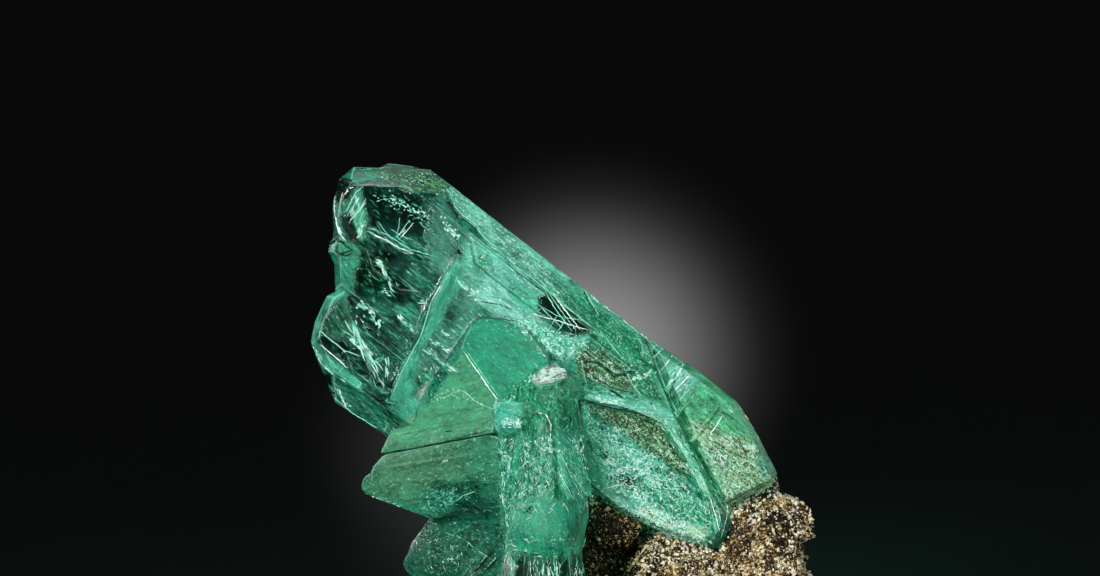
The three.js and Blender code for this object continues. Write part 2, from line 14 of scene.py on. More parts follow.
import bpy
import numpy as np
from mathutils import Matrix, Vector


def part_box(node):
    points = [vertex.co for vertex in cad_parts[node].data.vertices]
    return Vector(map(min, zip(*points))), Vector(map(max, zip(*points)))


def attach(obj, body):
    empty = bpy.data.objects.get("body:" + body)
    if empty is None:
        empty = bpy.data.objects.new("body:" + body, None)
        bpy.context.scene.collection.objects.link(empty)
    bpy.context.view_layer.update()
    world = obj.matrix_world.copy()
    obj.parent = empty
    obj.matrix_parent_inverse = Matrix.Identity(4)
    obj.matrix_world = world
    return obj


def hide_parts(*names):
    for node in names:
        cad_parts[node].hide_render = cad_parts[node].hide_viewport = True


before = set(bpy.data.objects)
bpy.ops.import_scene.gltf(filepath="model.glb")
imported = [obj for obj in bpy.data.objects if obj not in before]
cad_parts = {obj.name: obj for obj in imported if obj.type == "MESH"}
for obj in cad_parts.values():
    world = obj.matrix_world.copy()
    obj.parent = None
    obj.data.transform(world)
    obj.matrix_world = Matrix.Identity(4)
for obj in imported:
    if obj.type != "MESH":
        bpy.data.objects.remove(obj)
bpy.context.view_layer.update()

LOG = logging.getLogger("specimen")

MM = 0.001
SAME_PLACE = 2e-7
MOST_SPLITS = 40
LEAN = math.radians(8.0)
AXIS_FALL = math.radians(37.9)
UNIT_MM = 0.14
UNIT_ORIGIN = (565.0, 680.0)
CLUSTER = "crystal_cluster"
MATRIX = "matrix"
BODY = "root"
LEFTMOST_CRYSTAL = -35.7
FOREMOST_CRYSTAL = -23.41

Array = np.ndarray
Place = tuple[float, float]
Colour = tuple[float, float, float]
Socket = tuple[float, float, float, float]


# Places

def _shift() -> Array:
    """The model's move from the picture plane's own origin, in metres, from the crystals' corner."""
    low, _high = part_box(CLUSTER)
    return np.array([low[0] - LEFTMOST_CRYSTAL * MM, low[1] - FOREMOST_CRYSTAL * MM, 0.0])


SHIFT = _shift()


def to_plane(points: Array) -> Array:
    """Turns model points into picture plane millimetres: moved back, then stood upright.

    Args:
        points: an (n, 3) array in metres.

    Returns:
        An (n, 3) array of x across, y depth and z up in millimetres.
    """
    moved = (points - SHIFT) / MM
    c, s = math.cos(LEAN), math.sin(LEAN)
    return np.stack([moved[:, 0], c * moved[:, 1] - s * moved[:, 2], s * moved[:, 1] + c * moved[:, 2]], 1)


def to_model(points: Array) -> Array:
    """Turns picture plane millimetres into model points in metres, the inverse of to_plane.

    Args:
        points: an (n, 3) array of x across, y depth and z up.

    Returns:
        An (n, 3) array in metres.
    """
    c, s = math.cos(LEAN), math.sin(LEAN)
    leaned = [points[:, 0], c * points[:, 1] + s * points[:, 2], -s * points[:, 1] + c * points[:, 2]]
    return np.stack(leaned, 1) * MM + SHIFT


def from_picture(outline: Sequence[Place]) -> Array:
    """Turns picture units into (x, z) millimetres in the picture plane."""
    units = np.array(outline, dtype=float)
    return np.stack([units[:, 0] - UNIT_ORIGIN[0], UNIT_ORIGIN[1] - units[:, 1]], 1) * UNIT_MM


# Numbers over arrays

def smooth_step(low: float, high: float, value: Array) -> Array:
    """0 before low, 1 past high, and 3t^2 - 2t^3 in between; low may be the larger."""
    t = np.clip((value - low) / (high - low), 0.0, 1.0)
    return t * t * (3.0 - 2.0 * t)


def lattice(cells: Array, seed: int) -> Array:
    """A fixed random number from 0 to 1 for each whole-number cell, by mixing its coordinates' bits.

    Args:
        cells: an (n, 3) array of whole numbers.
        seed: which of the patterns to give.

    Returns:
        An (n,) array.
    """
    mixed = cells.astype(np.int64)
    key = mixed[:, 0] * 73856093 ^ mixed[:, 1] * 19349663 ^ mixed[:, 2] * 83492791 ^ (seed * 2654435761)
    key = (key ^ (key >> 13)) * 1274126177 & 0x7FFFFFFF
    key = (key ^ (key >> 16)) * 1103515245 & 0x7FFFFFFF
    return (key % 100003) / 100003.0


def value_noise(points: Array, size: float, seed: int) -> Array:
    """Smooth noise from -1 to 1: lattice numbers blended over each cell by the smooth step.

    Args:
        points: an (n, 3) array.
        size: the width of a cell.
        seed: which of the patterns to give.

    Returns:
        An (n,) array.
    """
    scaled = points / size
    base = np.floor(scaled)
    part = smooth_step(0.0, 1.0, scaled - base)
    sides = (1.0 - part, part)
    total = np.zeros(len(points))
    for i in (0, 1):
        for j in (0, 1):
            for k in (0, 1):
                weight = sides[i][:, 0] * sides[j][:, 1] * sides[k][:, 2]
                total += weight * lattice(base + np.array([i, j, k]), seed)
    return 2.0 * total - 1.0


def layered_noise(points: Array, size: float, seed: int, layers: int = 3) -> Array:
    """Sums value noise whose cells and strength halve with each layer."""
    total = np.zeros(len(points))
    for layer in range(layers):
        total += value_noise(points, size / 2 ** layer, seed + 17 * layer) / 2 ** layer
    return total / (2.0 - 2.0 ** (1 - layers))


def outside_by(points: Array, corners: Array) -> Array:
    """How far each (x, z) point lies outside a closed outline; inside it is negative.

    The distance is the least to any side, and the sign comes from counting crossed sides.

    Args:
        points: an (n, 2) array.
        corners: an (m, 2) array of the outline's corners in order.

    Returns:
        An (n,) array.
    """
    nearest = np.full(len(points), np.inf)
    crossings = np.zeros(len(points), dtype=int)
    for start, end in zip(corners, np.roll(corners, -1, axis=0)):
        side = end - start
        away = points - start
        share = np.clip(away @ side / max(side @ side, 1e-12), 0.0, 1.0)
        nearest = np.minimum(nearest, np.linalg.norm(away - share[:, None] * side, axis=1))
        spans = (start[1] > points[:, 1]) != (end[1] > points[:, 1])
        rise = side[1] if abs(side[1]) > 1e-12 else 1e-12
        crossings += spans & (points[:, 0] < start[0] + (points[:, 1] - start[1]) / rise * side[0])
    return np.where(crossings % 2 == 1, -nearest, nearest)


# Meshes

@dataclass
class Surface:
    """A triangle mesh held as arrays: points in metres and rows of three point numbers."""

    points: Array
    triangles: Array

    def edges(self) -> tuple[Array, Array]:
        """The unique edges, and for each triangle the numbers of its three edges."""
        loops = self.triangles[:, [0, 1, 1, 2, 2, 0]].reshape(-1, 2).astype(np.int64)
        keys = loops.min(axis=1) * len(self.points) + loops.max(axis=1)
        unique, index = np.unique(keys, return_inverse=True)
        pairs = np.stack([unique // len(self.points), unique % len(self.points)], 1)
        return pairs, index.reshape(-1, 3)

    def area_normals(self) -> Array:
        """Each triangle's normal, as long as twice its area."""
        a, b, c = (self.points[self.triangles[:, k]] for k in range(3))
        return np.cross(b - a, c - a)

    def face_normals(self) -> Array:
        """Unit normals, one for each triangle."""
        normal = self.area_normals()
        return normal / np.maximum(np.linalg.norm(normal, axis=1), 1e-18)[:, None]

    def point_normals(self) -> Array:
        """Unit normals, one for each point, weighted by the area of the triangles round it."""
        area = self.area_normals()
        total = np.zeros_like(self.points)
        for axis in range(3):
            for k in range(3):
                total[:, axis] += np.bincount(self.triangles[:, k], area[:, axis], len(self.points))
        return total / np.maximum(np.linalg.norm(total, axis=1), 1e-18)[:, None]

    def refined(self, longest: Callable[[Array], Array]) -> "Surface":
        """Splits the longest edge of every triangle that has one too long, again and again.

        A triangle with one, two or three split edges becomes two, three or four triangles, so
        no gap opens, and long thin triangles become short ones. Columns 0 to 2 of corners are a
        triangle's own points, and column 3 + k is the new point after corner k, or -1.

        Args:
            longest: gives the most an edge may measure, in metres, from its middle.

        Returns:
            The finer surface.
        """
        points, triangles = self.points, self.triangles
        for _round in range(MOST_SPLITS):
            pairs, of_face = Surface(points, triangles).edges()
            lengths = np.linalg.norm(points[pairs[:, 0]] - points[pairs[:, 1]], axis=1)
            too_long = lengths > longest(points[pairs].mean(axis=1))
            rows = np.flatnonzero(too_long[of_face].any(axis=1))
            if not len(rows):
                break
            split = np.zeros(len(pairs), dtype=bool)
            split[of_face[rows, lengths[of_face[rows]].argmax(axis=1)]] = True
            number = np.full(len(pairs), -1)
            number[split] = len(points) + np.arange(split.sum())
            points = np.concatenate([points, points[pairs[split]].mean(axis=1)])
            corners = np.concatenate([triangles, number[of_face]], axis=1)
            count = (corners[:, 3:] >= 0).sum(axis=1)
            parts = [triangles[count == 0]]
            for turn in range(3):
                order = [(turn + k) % 3 for k in range(3)]
                turned = corners[:, order + [3 + k for k in order]]
                one = turned[(count == 1) & (turned[:, 3] >= 0)]
                two = turned[(count == 2) & (turned[:, 5] < 0)]
                parts += [one[:, chosen] for chosen in ([0, 3, 2], [3, 1, 2])]
                parts += [two[:, chosen] for chosen in ([3, 1, 4], [0, 3, 4], [0, 4, 2])]
            three = corners[count == 3]
            parts += [three[:, chosen] for chosen in ([0, 3, 5], [3, 1, 4], [5, 4, 2], [3, 4, 5])]
            triangles = np.concatenate(parts)
        return Surface(points, triangles)

    def creases(self, angle: float) -> tuple[Array, Array]:
        """Marks the points on sharp edges.

        Args:
            angle: edges that bend by more than this, in degrees, are sharp.

        Returns:
            1 or 0 a point for edges that stand out, and the same for edges that fold in.
        """
        pairs, of_face = self.edges()
        normals = self.face_normals()
        middles = self.points[self.triangles].mean(axis=1)
        order = np.argsort(of_face.ravel(), kind="stable")
        owner = np.repeat(np.arange(len(self.triangles)), 3)[order]
        first = np.searchsorted(of_face.ravel()[order], np.arange(len(pairs)))
        one, other = owner[first], owner[np.minimum(first + 1, len(order) - 1)]
        sharp = np.einsum("ij,ij->i", normals[one], normals[other]) < math.cos(math.radians(angle))
        falls = np.einsum("ij,ij->i", middles[other] - middles[one], normals[one]) < 0.0
        marks = []
        for chosen in (sharp & falls, sharp & ~falls):
            mark = np.zeros(len(self.points))
            mark[pairs[chosen].ravel()] = 1.0
            marks.append(mark)
        return marks[0], marks[1]

    def softened(self, weight: Array, rounds: int) -> "Surface":
        """Rounds the marked edges: points on them, and next to them, move towards their neighbours.

        Args:
            weight: how far each point follows, from 0 to 1.
            rounds: how many times the points move half way.

        Returns:
            The surface with soft edges and unmoved flats.
        """
        pairs, _of_face = self.edges()
        spread = np.zeros(len(self.points))
        np.maximum.at(spread, pairs[:, 0], weight[pairs[:, 1]])
        np.maximum.at(spread, pairs[:, 1], weight[pairs[:, 0]])
        share = 0.5 * np.maximum(weight, 0.45 * spread)[:, None]
        points = self.points.copy()
        count = np.bincount(pairs.ravel(), minlength=len(points))[:, None]
        for _round in range(rounds):
            total = np.zeros_like(points)
            for axis in range(3):
                for near, far in ((0, 1), (1, 0)):
                    total[:, axis] += np.bincount(pairs[:, near], points[pairs[:, far], axis], len(points))
            points += share * (total / count - points)
        return Surface(points, self.triangles)


def cad_surface(node: str) -> Surface:
    """A CAD node's mesh as arrays, with the points that share a place merged into one."""
    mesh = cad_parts[node].data
    mesh.calc_loop_triangles()
    points = np.empty(3 * len(mesh.vertices), dtype=np.float32)
    mesh.vertices.foreach_get("co", points)
    triangles = np.empty(3 * len(mesh.loop_triangles), dtype=np.int32)
    mesh.loop_triangles.foreach_get("vertices", triangles)
    places = np.round(points.reshape(-1, 3).astype(float) / SAME_PLACE).astype(np.int64)
    _unique, first, index = np.unique(places, axis=0, return_index=True, return_inverse=True)
    joined = index.ravel()[triangles].reshape(-1, 3)
    whole = (joined[:, 0] != joined[:, 1]) & (joined[:, 1] != joined[:, 2]) & (joined[:, 0] != joined[:, 2])
    return Surface(points.reshape(-1, 3).astype(float)[first], joined[whole])


def put_in_scene(
    name: str,
    surface: Surface,
    material: bpy.types.Material,
    smooth: bool = True,
    numbers: Optional[dict[str, Array]] = None,
    colours: Optional[dict[str, Array]] = None,
) -> bpy.types.Object:
    """Makes an object at the origin from a surface, rides it on the body and reports it.

    Args:
        name: the piece's name.
        surface: its triangles.
        material: its finish.
        smooth: whether its faces are shaded smoothly.
        numbers: one number a point, by attribute name.
        colours: red, green and blue a point, by attribute name.

    Returns:
        The new object.
    """
    count = len(surface.triangles)
    mesh = bpy.data.meshes.new(name)
    mesh.vertices.add(len(surface.points))
    mesh.vertices.foreach_set("co", surface.points.astype(np.float32).ravel())
    mesh.loops.add(3 * count)
    mesh.loops.foreach_set("vertex_index", surface.triangles.astype(np.int32).ravel())
    mesh.polygons.add(count)
    mesh.polygons.foreach_set("loop_start", np.arange(0, 3 * count, 3, dtype=np.int32))
    mesh.polygons.foreach_set("use_smooth", np.full(count, smooth))
    mesh.update(calc_edges=True)
    for key, values in (numbers or {}).items():
        mesh.attributes.new(key, "FLOAT", "POINT").data.foreach_set("value", values.astype(np.float32))
    for key, values in (colours or {}).items():
        four = np.concatenate([values, np.ones((len(values), 1))], axis=1).astype(np.float32)
        mesh.attributes.new(key, "FLOAT_COLOR", "POINT").data.foreach_set("color", four.ravel())
    mesh.materials.append(material)
    piece = bpy.data.objects.new(name, mesh)
    bpy.context.scene.collection.objects.link(piece)
    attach(piece, BODY)
    LOG.info("%s: %d triangles", name, count)
    return piece


# Shader maths

class Value:
    """A socket that Python's operators work on; each adds a Math node and gives its output."""

    def __init__(self, tree: "Tree", socket: bpy.types.NodeSocket) -> None:
        """Wraps a socket of a tree."""
        self.tree = tree
        self.socket = socket

    def _math(self, operation: str, *values: Any) -> "Value":
        """One Math node on the values given, in order."""
        return self.tree.node("ShaderNodeMath", {"operation": operation}, dict(enumerate(values)))

    def __add__(self, other: Any) -> "Value":
        """Sum."""
        return self._math("ADD", self, other)

    __radd__ = __add__

    def __sub__(self, other: Any) -> "Value":
        """Difference."""
        return self._math("SUBTRACT", self, other)

    def __rsub__(self, other: Any) -> "Value":
        """Difference, with the socket taken away."""
        return self._math("SUBTRACT", other, self)

    def __mul__(self, other: Any) -> "Value":
        """Product."""
        return self._math("MULTIPLY", self, other)

    __rmul__ = __mul__

    def clamped(self) -> "Value":
        """The value held between 0 and 1."""
        return self.tree.node(
            "ShaderNodeMath", {"operation": "MULTIPLY", "use_clamp": True}, {0: self, 1: 1.0}
        )

    def most(self, other: Any) -> "Value":
        """The larger of two values."""
        return self._math("MAXIMUM", self, other)

    def step(self, low: float, high: float) -> "Value":
        """0 before low, 1 past high, and smooth in between; low may be the larger."""
        return self.tree.node(
            "ShaderNodeMapRange", {"interpolation_type": "SMOOTHSTEP"}, {0: self, 1: low, 2: high}
        )


class Tree:
    """A material's node tree with one way to add a node."""

    def __init__(self, name: str) -> None:
        """Starts a new material of this name with only an output node."""
        self.material = bpy.data.materials.new(name)
        self.material.use_nodes = True
        self.nodes = self.material.node_tree.nodes
        self.links = self.material.node_tree.links
        self.nodes.clear()
        self.output = self.nodes.new("ShaderNodeOutputMaterial")

    def node(self, kind: str, settings: dict[str, Any], inputs: dict[Any, Any], output: Any = 0) -> Value:
        """Adds a node.

        Args:
            kind: the node's type.
            settings: its properties, set first. A stops entry fills its colour ramp.
            inputs: values or wrapped sockets, by input name or number.
            output: the name or number of the output to give back.

        Returns:
            The wrapped output.
        """
        made = self.nodes.new(kind)
        for key, value in settings.items():
            if key == "stops":
                self._fill_ramp(made.color_ramp, value)
            else:
                setattr(made, key, value)
        for key, value in inputs.items():
            if isinstance(value, Value):
                self.links.new(value.socket, made.inputs[key])
            else:
                made.inputs[key].default_value = value
        return Value(self, made.outputs[output])

    @staticmethod
    def _fill_ramp(ramp: bpy.types.ColorRamp, stops: Sequence[tuple[float, Colour]]) -> None:
        """Sets a ramp's stops from places and colours."""
        while len(ramp.elements) < len(stops):
            ramp.elements.new(1.0)
        for element, (place, colour) in zip(ramp.elements, stops):
            element.position = place
            element.color = (*colour, 1.0)

    def attribute(self, name: str, colour: bool = False) -> Value:
        """One of the piece's own point attributes."""
        return self.node("ShaderNodeAttribute", {"attribute_name": name}, {}, "Color" if colour else "Fac")

    def plane_mm(self) -> Value:
        """Object coordinates as picture plane millimetres, as to_plane works them out."""
        place = self.node("ShaderNodeTexCoord", {}, {}, "Object")
        moved = self.node("ShaderNodeVectorMath", {"operation": "SUBTRACT"}, {0: place, 1: tuple(SHIFT)})
        upright = self.node(
            "ShaderNodeVectorRotate", {"rotation_type": "X_AXIS"}, {"Vector": moved, "Angle": LEAN}
        )
        return self.scaled(upright, 1.0 / MM)

    def scaled(self, vector: Value, factor: Any) -> Value:
        """A vector or colour times a number."""
        return self.node("ShaderNodeVectorMath", {"operation": "SCALE"}, {0: vector, "Scale": factor})

    def turned(self, place: Value, angle: Any, scale: Sequence[float]) -> Value:
        """Millimetres turned in the picture plane and then scaled along the turned axes."""
        turned = self.node(
            "ShaderNodeVectorRotate", {"rotation_type": "Y_AXIS"}, {"Vector": place, "Angle": angle}
        )
        return self.node("ShaderNodeVectorMath", {"operation": "MULTIPLY"}, {0: turned, 1: tuple(scale)})

    def noise(self, place: Value, scale: float, detail: float = 3.0, roughness: float = 0.55) -> Value:
        """Noise from 0 to 1 at a number of cells a unit."""
        inputs = {"Vector": place, "Scale": scale, "Detail": detail, "Roughness": roughness}
        return self.node("ShaderNodeTexNoise", {}, inputs)

    def blend(self, share: Any, first: Any, second: Any) -> Value:
        """One colour into another by a share from 0 to 1."""
        return self.node("ShaderNodeMix", {"data_type": "RGBA"}, {0: share, 6: first, 7: second}, 2)

    def principled(self, inputs: dict[str, Any]) -> Value:
        """A Principled shader with these inputs."""
        return self.node("ShaderNodeBsdfPrincipled", {}, inputs)

    def bump(self, height: Value, distance: float, strength: float) -> Value:
        """A normal from a height from 0 to 1 that stands for a distance in metres."""
        return self.node(
            "ShaderNodeBump", {}, {"Height": height, "Distance": distance, "Strength": strength}
        )

    def finish(self, surface: Value, volume: Optional[Value] = None) -> bpy.types.Material:
        """Links the shaders to the output and gives the material."""
        self.links.new(surface.socket, self.output.inputs["Surface"])
        if volume is not None:
            self.links.new(volume.socket, self.output.inputs["Volume"])
        return self.material


def rgb(red: float, green: float, blue: float) -> Socket:
    """A plain colour for a socket."""
    return (red, green, blue, 1.0)


@dataclass(frozen=True)
class CrystalFinish:
    """Clear green crystal with cloudy, fibrous and snowy places, told apart by its attributes."""

    ior: float = 1.6
    kept: Socket = rgb(0.0, 0.74, 0.66)
    absorption: float = 150.0
    clear_tint: Socket = rgb(0.86, 0.98, 0.94)
    fleck_colour: Socket = rgb(0.60, 0.95, 0.80)
    painted_highlight_colour: Socket = rgb(0.42, 0.86, 0.68)
    speck_and_crease_shade_colour: Socket = rgb(0.005, 0.018, 0.010)
    cooler: Colour = (0.72, 1.0, 1.10)
    relief: float = 0.09 * MM
    frosted_gloss: float = 0.13
    frosted_transmission: float = 0.15
    lamp_colour: Socket = rgb(0.80, 0.95, 0.90)
    lamp_share: float = 0.75

    def make(self) -> bpy.types.Material:
        """Builds the material.

        Streaks and broad bands follow the turn attribute, and grit has no direction. Together they
        break up the cloud, vary the tint, and stand out as pale flecks or dark specks where the
        snow or speck attribute lets more of them through. The crest attribute paints a pale
        highlight along edges that stand out and dark shade in folds. Lamps shine through to the inside.
        """
        tree = Tree("crystal")
        place = tree.plane_mm()
        cloud, snow, mottle, speck, rough, crest, turn = (
            tree.attribute(name) for name in ("cloud", "snow", "mottle", "speck", "rough", "crest", "turn")
        )
        tint = tree.attribute("tint", colour=True)

        streak = tree.noise(tree.turned(place, turn, (0.22, 0.55, 1.0)), 2.8, 4.0, 0.72)
        broad = tree.noise(tree.turned(place, turn, (0.35, 0.5, 1.0)), 0.55, 2.0, 0.5)
        grit = tree.noise(place, 3.4, 4.0, 0.8)
        clump = tree.noise(place, 0.9, 2.0, 0.5)
        both = streak * 0.5 + grit * 0.5

        fleck = (both + snow * (0.13 + (clump - 0.5) * 0.8)).step(0.565, 0.66)
        dark = (both - speck * 0.13).step(0.425, 0.375)
        # painted light: a painted highlight on edges that stand out, from the positive crest, and painted
        # shade in folds, from the negative crest
        ridge = crest.most(0.0)
        edge = (ridge * ridge * (0.15 + 1.3 * grit)).clamped()
        painted_crease_shade = (0.0 - crest).most(0.0)
        vary = 1.0 + mottle * ((streak - 0.5) * 4.5 + (grit - 0.5) * 4.0 + (broad - 0.5) * 2.5)
        shade = tree.scaled(tint, vary.most(0.12))
        cooler = tree.node("ShaderNodeVectorMath", {"operation": "MULTIPLY"}, {0: shade, 1: self.cooler})
        shade = tree.blend(clump.step(0.44, 0.62) * 0.6, shade, cooler)
        # dark specks by chance, and painted shade in the folds
        shade = tree.blend((dark * 0.85 + painted_crease_shade * painted_crease_shade * 0.85).clamped(), shade, self.speck_and_crease_shade_colour)
        # painted highlight along the edges that stand out
        shade = tree.blend(edge * 0.7, shade, self.painted_highlight_colour)
        shade = tree.blend(fleck, shade, self.fleck_colour)
        cover = cloud + cloud * (1.0 - cloud) * ((broad - 0.5) * 9.0 + (streak - 0.5) * 8.0)
        # edges and folds are frosted over, so their painted highlight and shade show
        cover = cover + fleck * 0.8 + edge * 0.7 + painted_crease_shade * painted_crease_shade * 0.5

        height = streak * 0.6 + grit * (0.3 + rough * 0.9)
        normal = tree.bump(height, self.relief, 0.7)
        clear = tree.principled({
            "Base Color": self.clear_tint,
            "Roughness": (0.02 + 0.25 * rough).clamped(),
            "IOR": self.ior,
            "Transmission Weight": 1.0,
            "Normal": normal,
        })
        frosted = tree.principled({
            "Base Color": shade,
            "Roughness": (0.24 + 0.45 * rough + 0.15 * fleck + 0.35 * ridge).clamped(),
            "IOR": self.ior,
            "Specular IOR Level": self.frosted_gloss,
            "Transmission Weight": self.frosted_transmission,
            "Normal": normal,
        })
        solid = tree.node("ShaderNodeMixShader", {}, {0: cover.clamped(), 1: clear, 2: frosted})
        lamp_ray = tree.node("ShaderNodeLightPath", {}, {}, "Is Shadow Ray")
        passing = tree.node("ShaderNodeBsdfTransparent", {}, {"Color": self.lamp_colour})
        surface = tree.node("ShaderNodeMixShader", {}, {0: lamp_ray * self.lamp_share, 1: solid, 2: passing})
        volume = tree.node(
            "ShaderNodeVolumeAbsorption", {}, {"Color": self.kept, "Density": self.absorption}
        )
        return tree.finish(surface, volume)


@dataclass(frozen=True)
class SliverFinish:
    """Bright or dark slivers: fractures, and also painted highlights and painted shade; each sliver carries
    its own tint.
    """

    roughness: float = 0.4
    gloss: float = 0.12

    def make(self) -> bpy.types.Material:
        """Builds the material."""
        tree = Tree("slivers")
        shader = tree.principled({
            "Base Color": tree.attribute("tint", colour=True),
            "Roughness": self.roughness,
            "Specular IOR Level": self.gloss,
        })
        return tree.finish(shader)


@dataclass(frozen=True)
class VeilFinish:
    """Healed fractures and feathers inside the crystal: thin, pale and broken up."""

    colour: Socket = rgb(0.20, 0.62, 0.46)
    cover: float = 0.32
    roughness: float = 0.4

    def make(self) -> bpy.types.Material:
        """Builds the material; noise drawn out along the crystal breaks the sheet into fibres."""
        tree = Tree("veil")
        place = tree.turned(tree.plane_mm(), -AXIS_FALL, (0.25, 1.0, 1.0))
        fibres = tree.noise(place, 2.4, 4.0, 0.7).step(0.44, 0.64)
        shader = tree.principled({
            "Base Color": self.colour,
            "Roughness": self.roughness,
            "Alpha": (fibres * tree.attribute("edge") * self.cover).clamped(),
        })
        return tree.finish(shader)


@dataclass(frozen=True)
class RockFinish:
    """Brown, gold and black granular rock; grains carry their own tone and glint."""

    name: str
    grain_scale: float
    rust: Colour = (0.84, 0.63, 0.34)
    contrast: float = 2.4
    gloss: float = 0.2
    relief: float = 0.2 * MM

    def make(self) -> bpy.types.Material:
        """Builds the material from a tone a point, fine noise and broad rusty places."""
        tree = Tree(self.name)
        place = tree.plane_mm()
        tone = tree.attribute("tone")
        glint = tree.attribute("glint")
        specks = tree.noise(place, self.grain_scale, 4.0, 0.75)
        mixed = (tone + (specks - 0.5) * self.contrast).clamped()
        rust = tree.noise(place, 0.45, 3.0, 0.6).step(0.48, 0.66)
        colour = tree.node(
            "ShaderNodeValToRGB",
            {
                "stops": (
                    (0.0, (0.003, 0.002, 0.001)),
                    (0.28, (0.038, 0.022, 0.009)),
                    (0.46, (0.270, 0.190, 0.075)),
                    (0.64, (0.850, 0.710, 0.370)),
                    (0.85, (1.000, 0.970, 0.780)),
                )
            },
            {0: mixed},
        )
        rusty = tree.node("ShaderNodeVectorMath", {"operation": "MULTIPLY"}, {0: colour, 1: self.rust})
        normal = tree.bump(specks, self.relief, 0.8)
        shader = tree.principled({
            "Base Color": tree.blend(rust * 0.8, colour, rusty),
            "Roughness": (0.58 - 0.38 * glint).clamped(),
            "Metallic": (glint * 0.5).clamped(),
            "Specular IOR Level": self.gloss,
            "Normal": normal,
        })
        return tree.finish(shader)


@dataclass(frozen=True)
class FloorFinish:
    """Plain pale matt floor."""

    colour: Socket = rgb(0.55, 0.55, 0.56)
    patch_colour: Socket = rgb(0.45, 0.45, 0.46)
    patch_share: float = 0.06
    roughness: float = 0.75

    def make(self) -> bpy.types.Material:
        """Builds the material, with a very slight unevenness."""
        tree = Tree("floor")
        place = tree.node("ShaderNodeTexCoord", {}, {}, "Object")
        patches = tree.noise(place, 3.0, 2.0)
        colour = tree.blend(patches * self.patch_share, self.colour, self.patch_colour)
        return tree.finish(tree.principled({"Base Color": colour, "Roughness": self.roughness}))


# Crystals

class Look(Enum):
    """The kinds of crystal surface: tint, then cloud, snow, mottle, speck and rough.

    Cloud hides the inside. Snow lets pale flecks through and speck dark ones, and below zero they
    hold them back. Mottle varies the tint. Rough raises the relief and dulls the gloss.
    """

    WINDOW = ((0.004, 0.022, 0.016), 0.03, -0.7, 1.0, -0.3, 0.0)
    GAUZE = ((0.024, 0.205, 0.125), 0.45, -0.15, 1.0, -0.3, 0.1)
    DARK = ((0.006, 0.05, 0.03), 0.75, 0.0, 1.0, 0.1, 0.1)
    DEEP = ((0.008, 0.105, 0.06), 0.82, 0.0, 0.9, 0.0, 0.1)
    GREEN = ((0.016, 0.23, 0.13), 0.9, -0.05, 0.7, -0.2, 0.1)
    EMERALD = ((0.016, 0.27, 0.125), 0.93, 0.1, 0.7, -0.1, 0.2)
    TEAL = ((0.026, 0.33, 0.185), 0.97, -0.1, 0.34, -0.5, 0.5)
    MINT = ((0.04, 0.38, 0.23), 0.98, 0.0, 0.42, -0.3, 0.6)
    BLADE = ((0.08, 0.365, 0.185), 0.96, -0.1, 0.34, -0.2, 0.4)
    SAGE = ((0.068, 0.245, 0.122), 0.96, 0.0, 0.42, -0.1, 0.4)
    FERN = ((0.04, 0.24, 0.125), 0.94, 0.0, 0.55, -0.1, 0.3)
    MOSS = ((0.034, 0.14, 0.07), 0.96, 0.0, 0.6, 0.1, 0.4)
    PALE = ((0.06, 0.46, 0.3), 0.96, 0.1, 0.5, -0.3, 0.2)
    BAND = ((0.12, 0.52, 0.355), 0.98, 0.3, 0.6, 0.0, 0.6)
    CLOUD = ((0.045, 0.26, 0.17), 0.92, 0.05, 0.6, -0.2, 0.2)
    MIST = ((0.04, 0.205, 0.132), 0.9, 0.0, 0.45, -0.2, 0.2)
    HAZE = ((0.125, 0.52, 0.365), 0.97, 0.1, 0.5, -0.4, 0.2)
    MILK = ((0.23, 0.68, 0.53), 0.98, 0.3, 0.4, -0.5, 0.1)
    SNOW = ((0.03, 0.36, 0.225), 0.94, 0.34, 1.0, 0.2, 0.4)
    CRACKED = ((0.022, 0.28, 0.165), 0.9, 0.25, 0.9, 0.0, 0.2)
    BROWN = ((0.04, 0.182, 0.055), 0.92, 0.3, 1.0, 0.6, 0.5)
    CREAM = ((0.205, 0.43, 0.2), 0.96, 0.45, 1.0, 0.4, 0.6)
    VERDANT = ((0.062, 0.46, 0.205), 0.95, 0.05, 0.7, -0.1, 0.2)
    SEAM = ((0.075, 0.5, 0.25), 0.97, 0.25, 1.0, 0.2, 0.3)
    IVORY = ((0.52, 0.78, 0.56), 1.0, 0.6, 0.9, 0.4, 0.5)
    CROWN = ((0.56, 0.7, 0.64), 1.0, 0.5, 0.8, 0.5, 0.8)

    @property
    def numbers(self) -> dict[str, float]:
        """The look's numbers by attribute name."""
        return dict(zip(("cloud", "snow", "mottle", "speck", "rough"), self.value[1:]))


@dataclass(frozen=True)
class Patch:
    """A place with its own look, inside an outline in picture units.

    Fall is the way its streaks run, in degrees below level to the right. Blur is how softly it
    ends in millimetres. Only surface in front of the depth is covered, or all of it where the
    patch goes through to the back.
    """

    look: Look
    fall: float
    blur: float
    outline: tuple[Place, ...]
    depth: float = 0.0
    through: bool = False

    def share(self, place: Array, wobble: Array) -> Array:
        """How much of the look each point takes, from 0 to 1."""
        outside = outside_by(place[:, [0, 2]], from_picture(self.outline))
        share = smooth_step(self.blur, -self.blur, outside + wobble * min(1.0, self.blur + 0.4))
        return share if self.through else share * (place[:, 1] < self.depth)


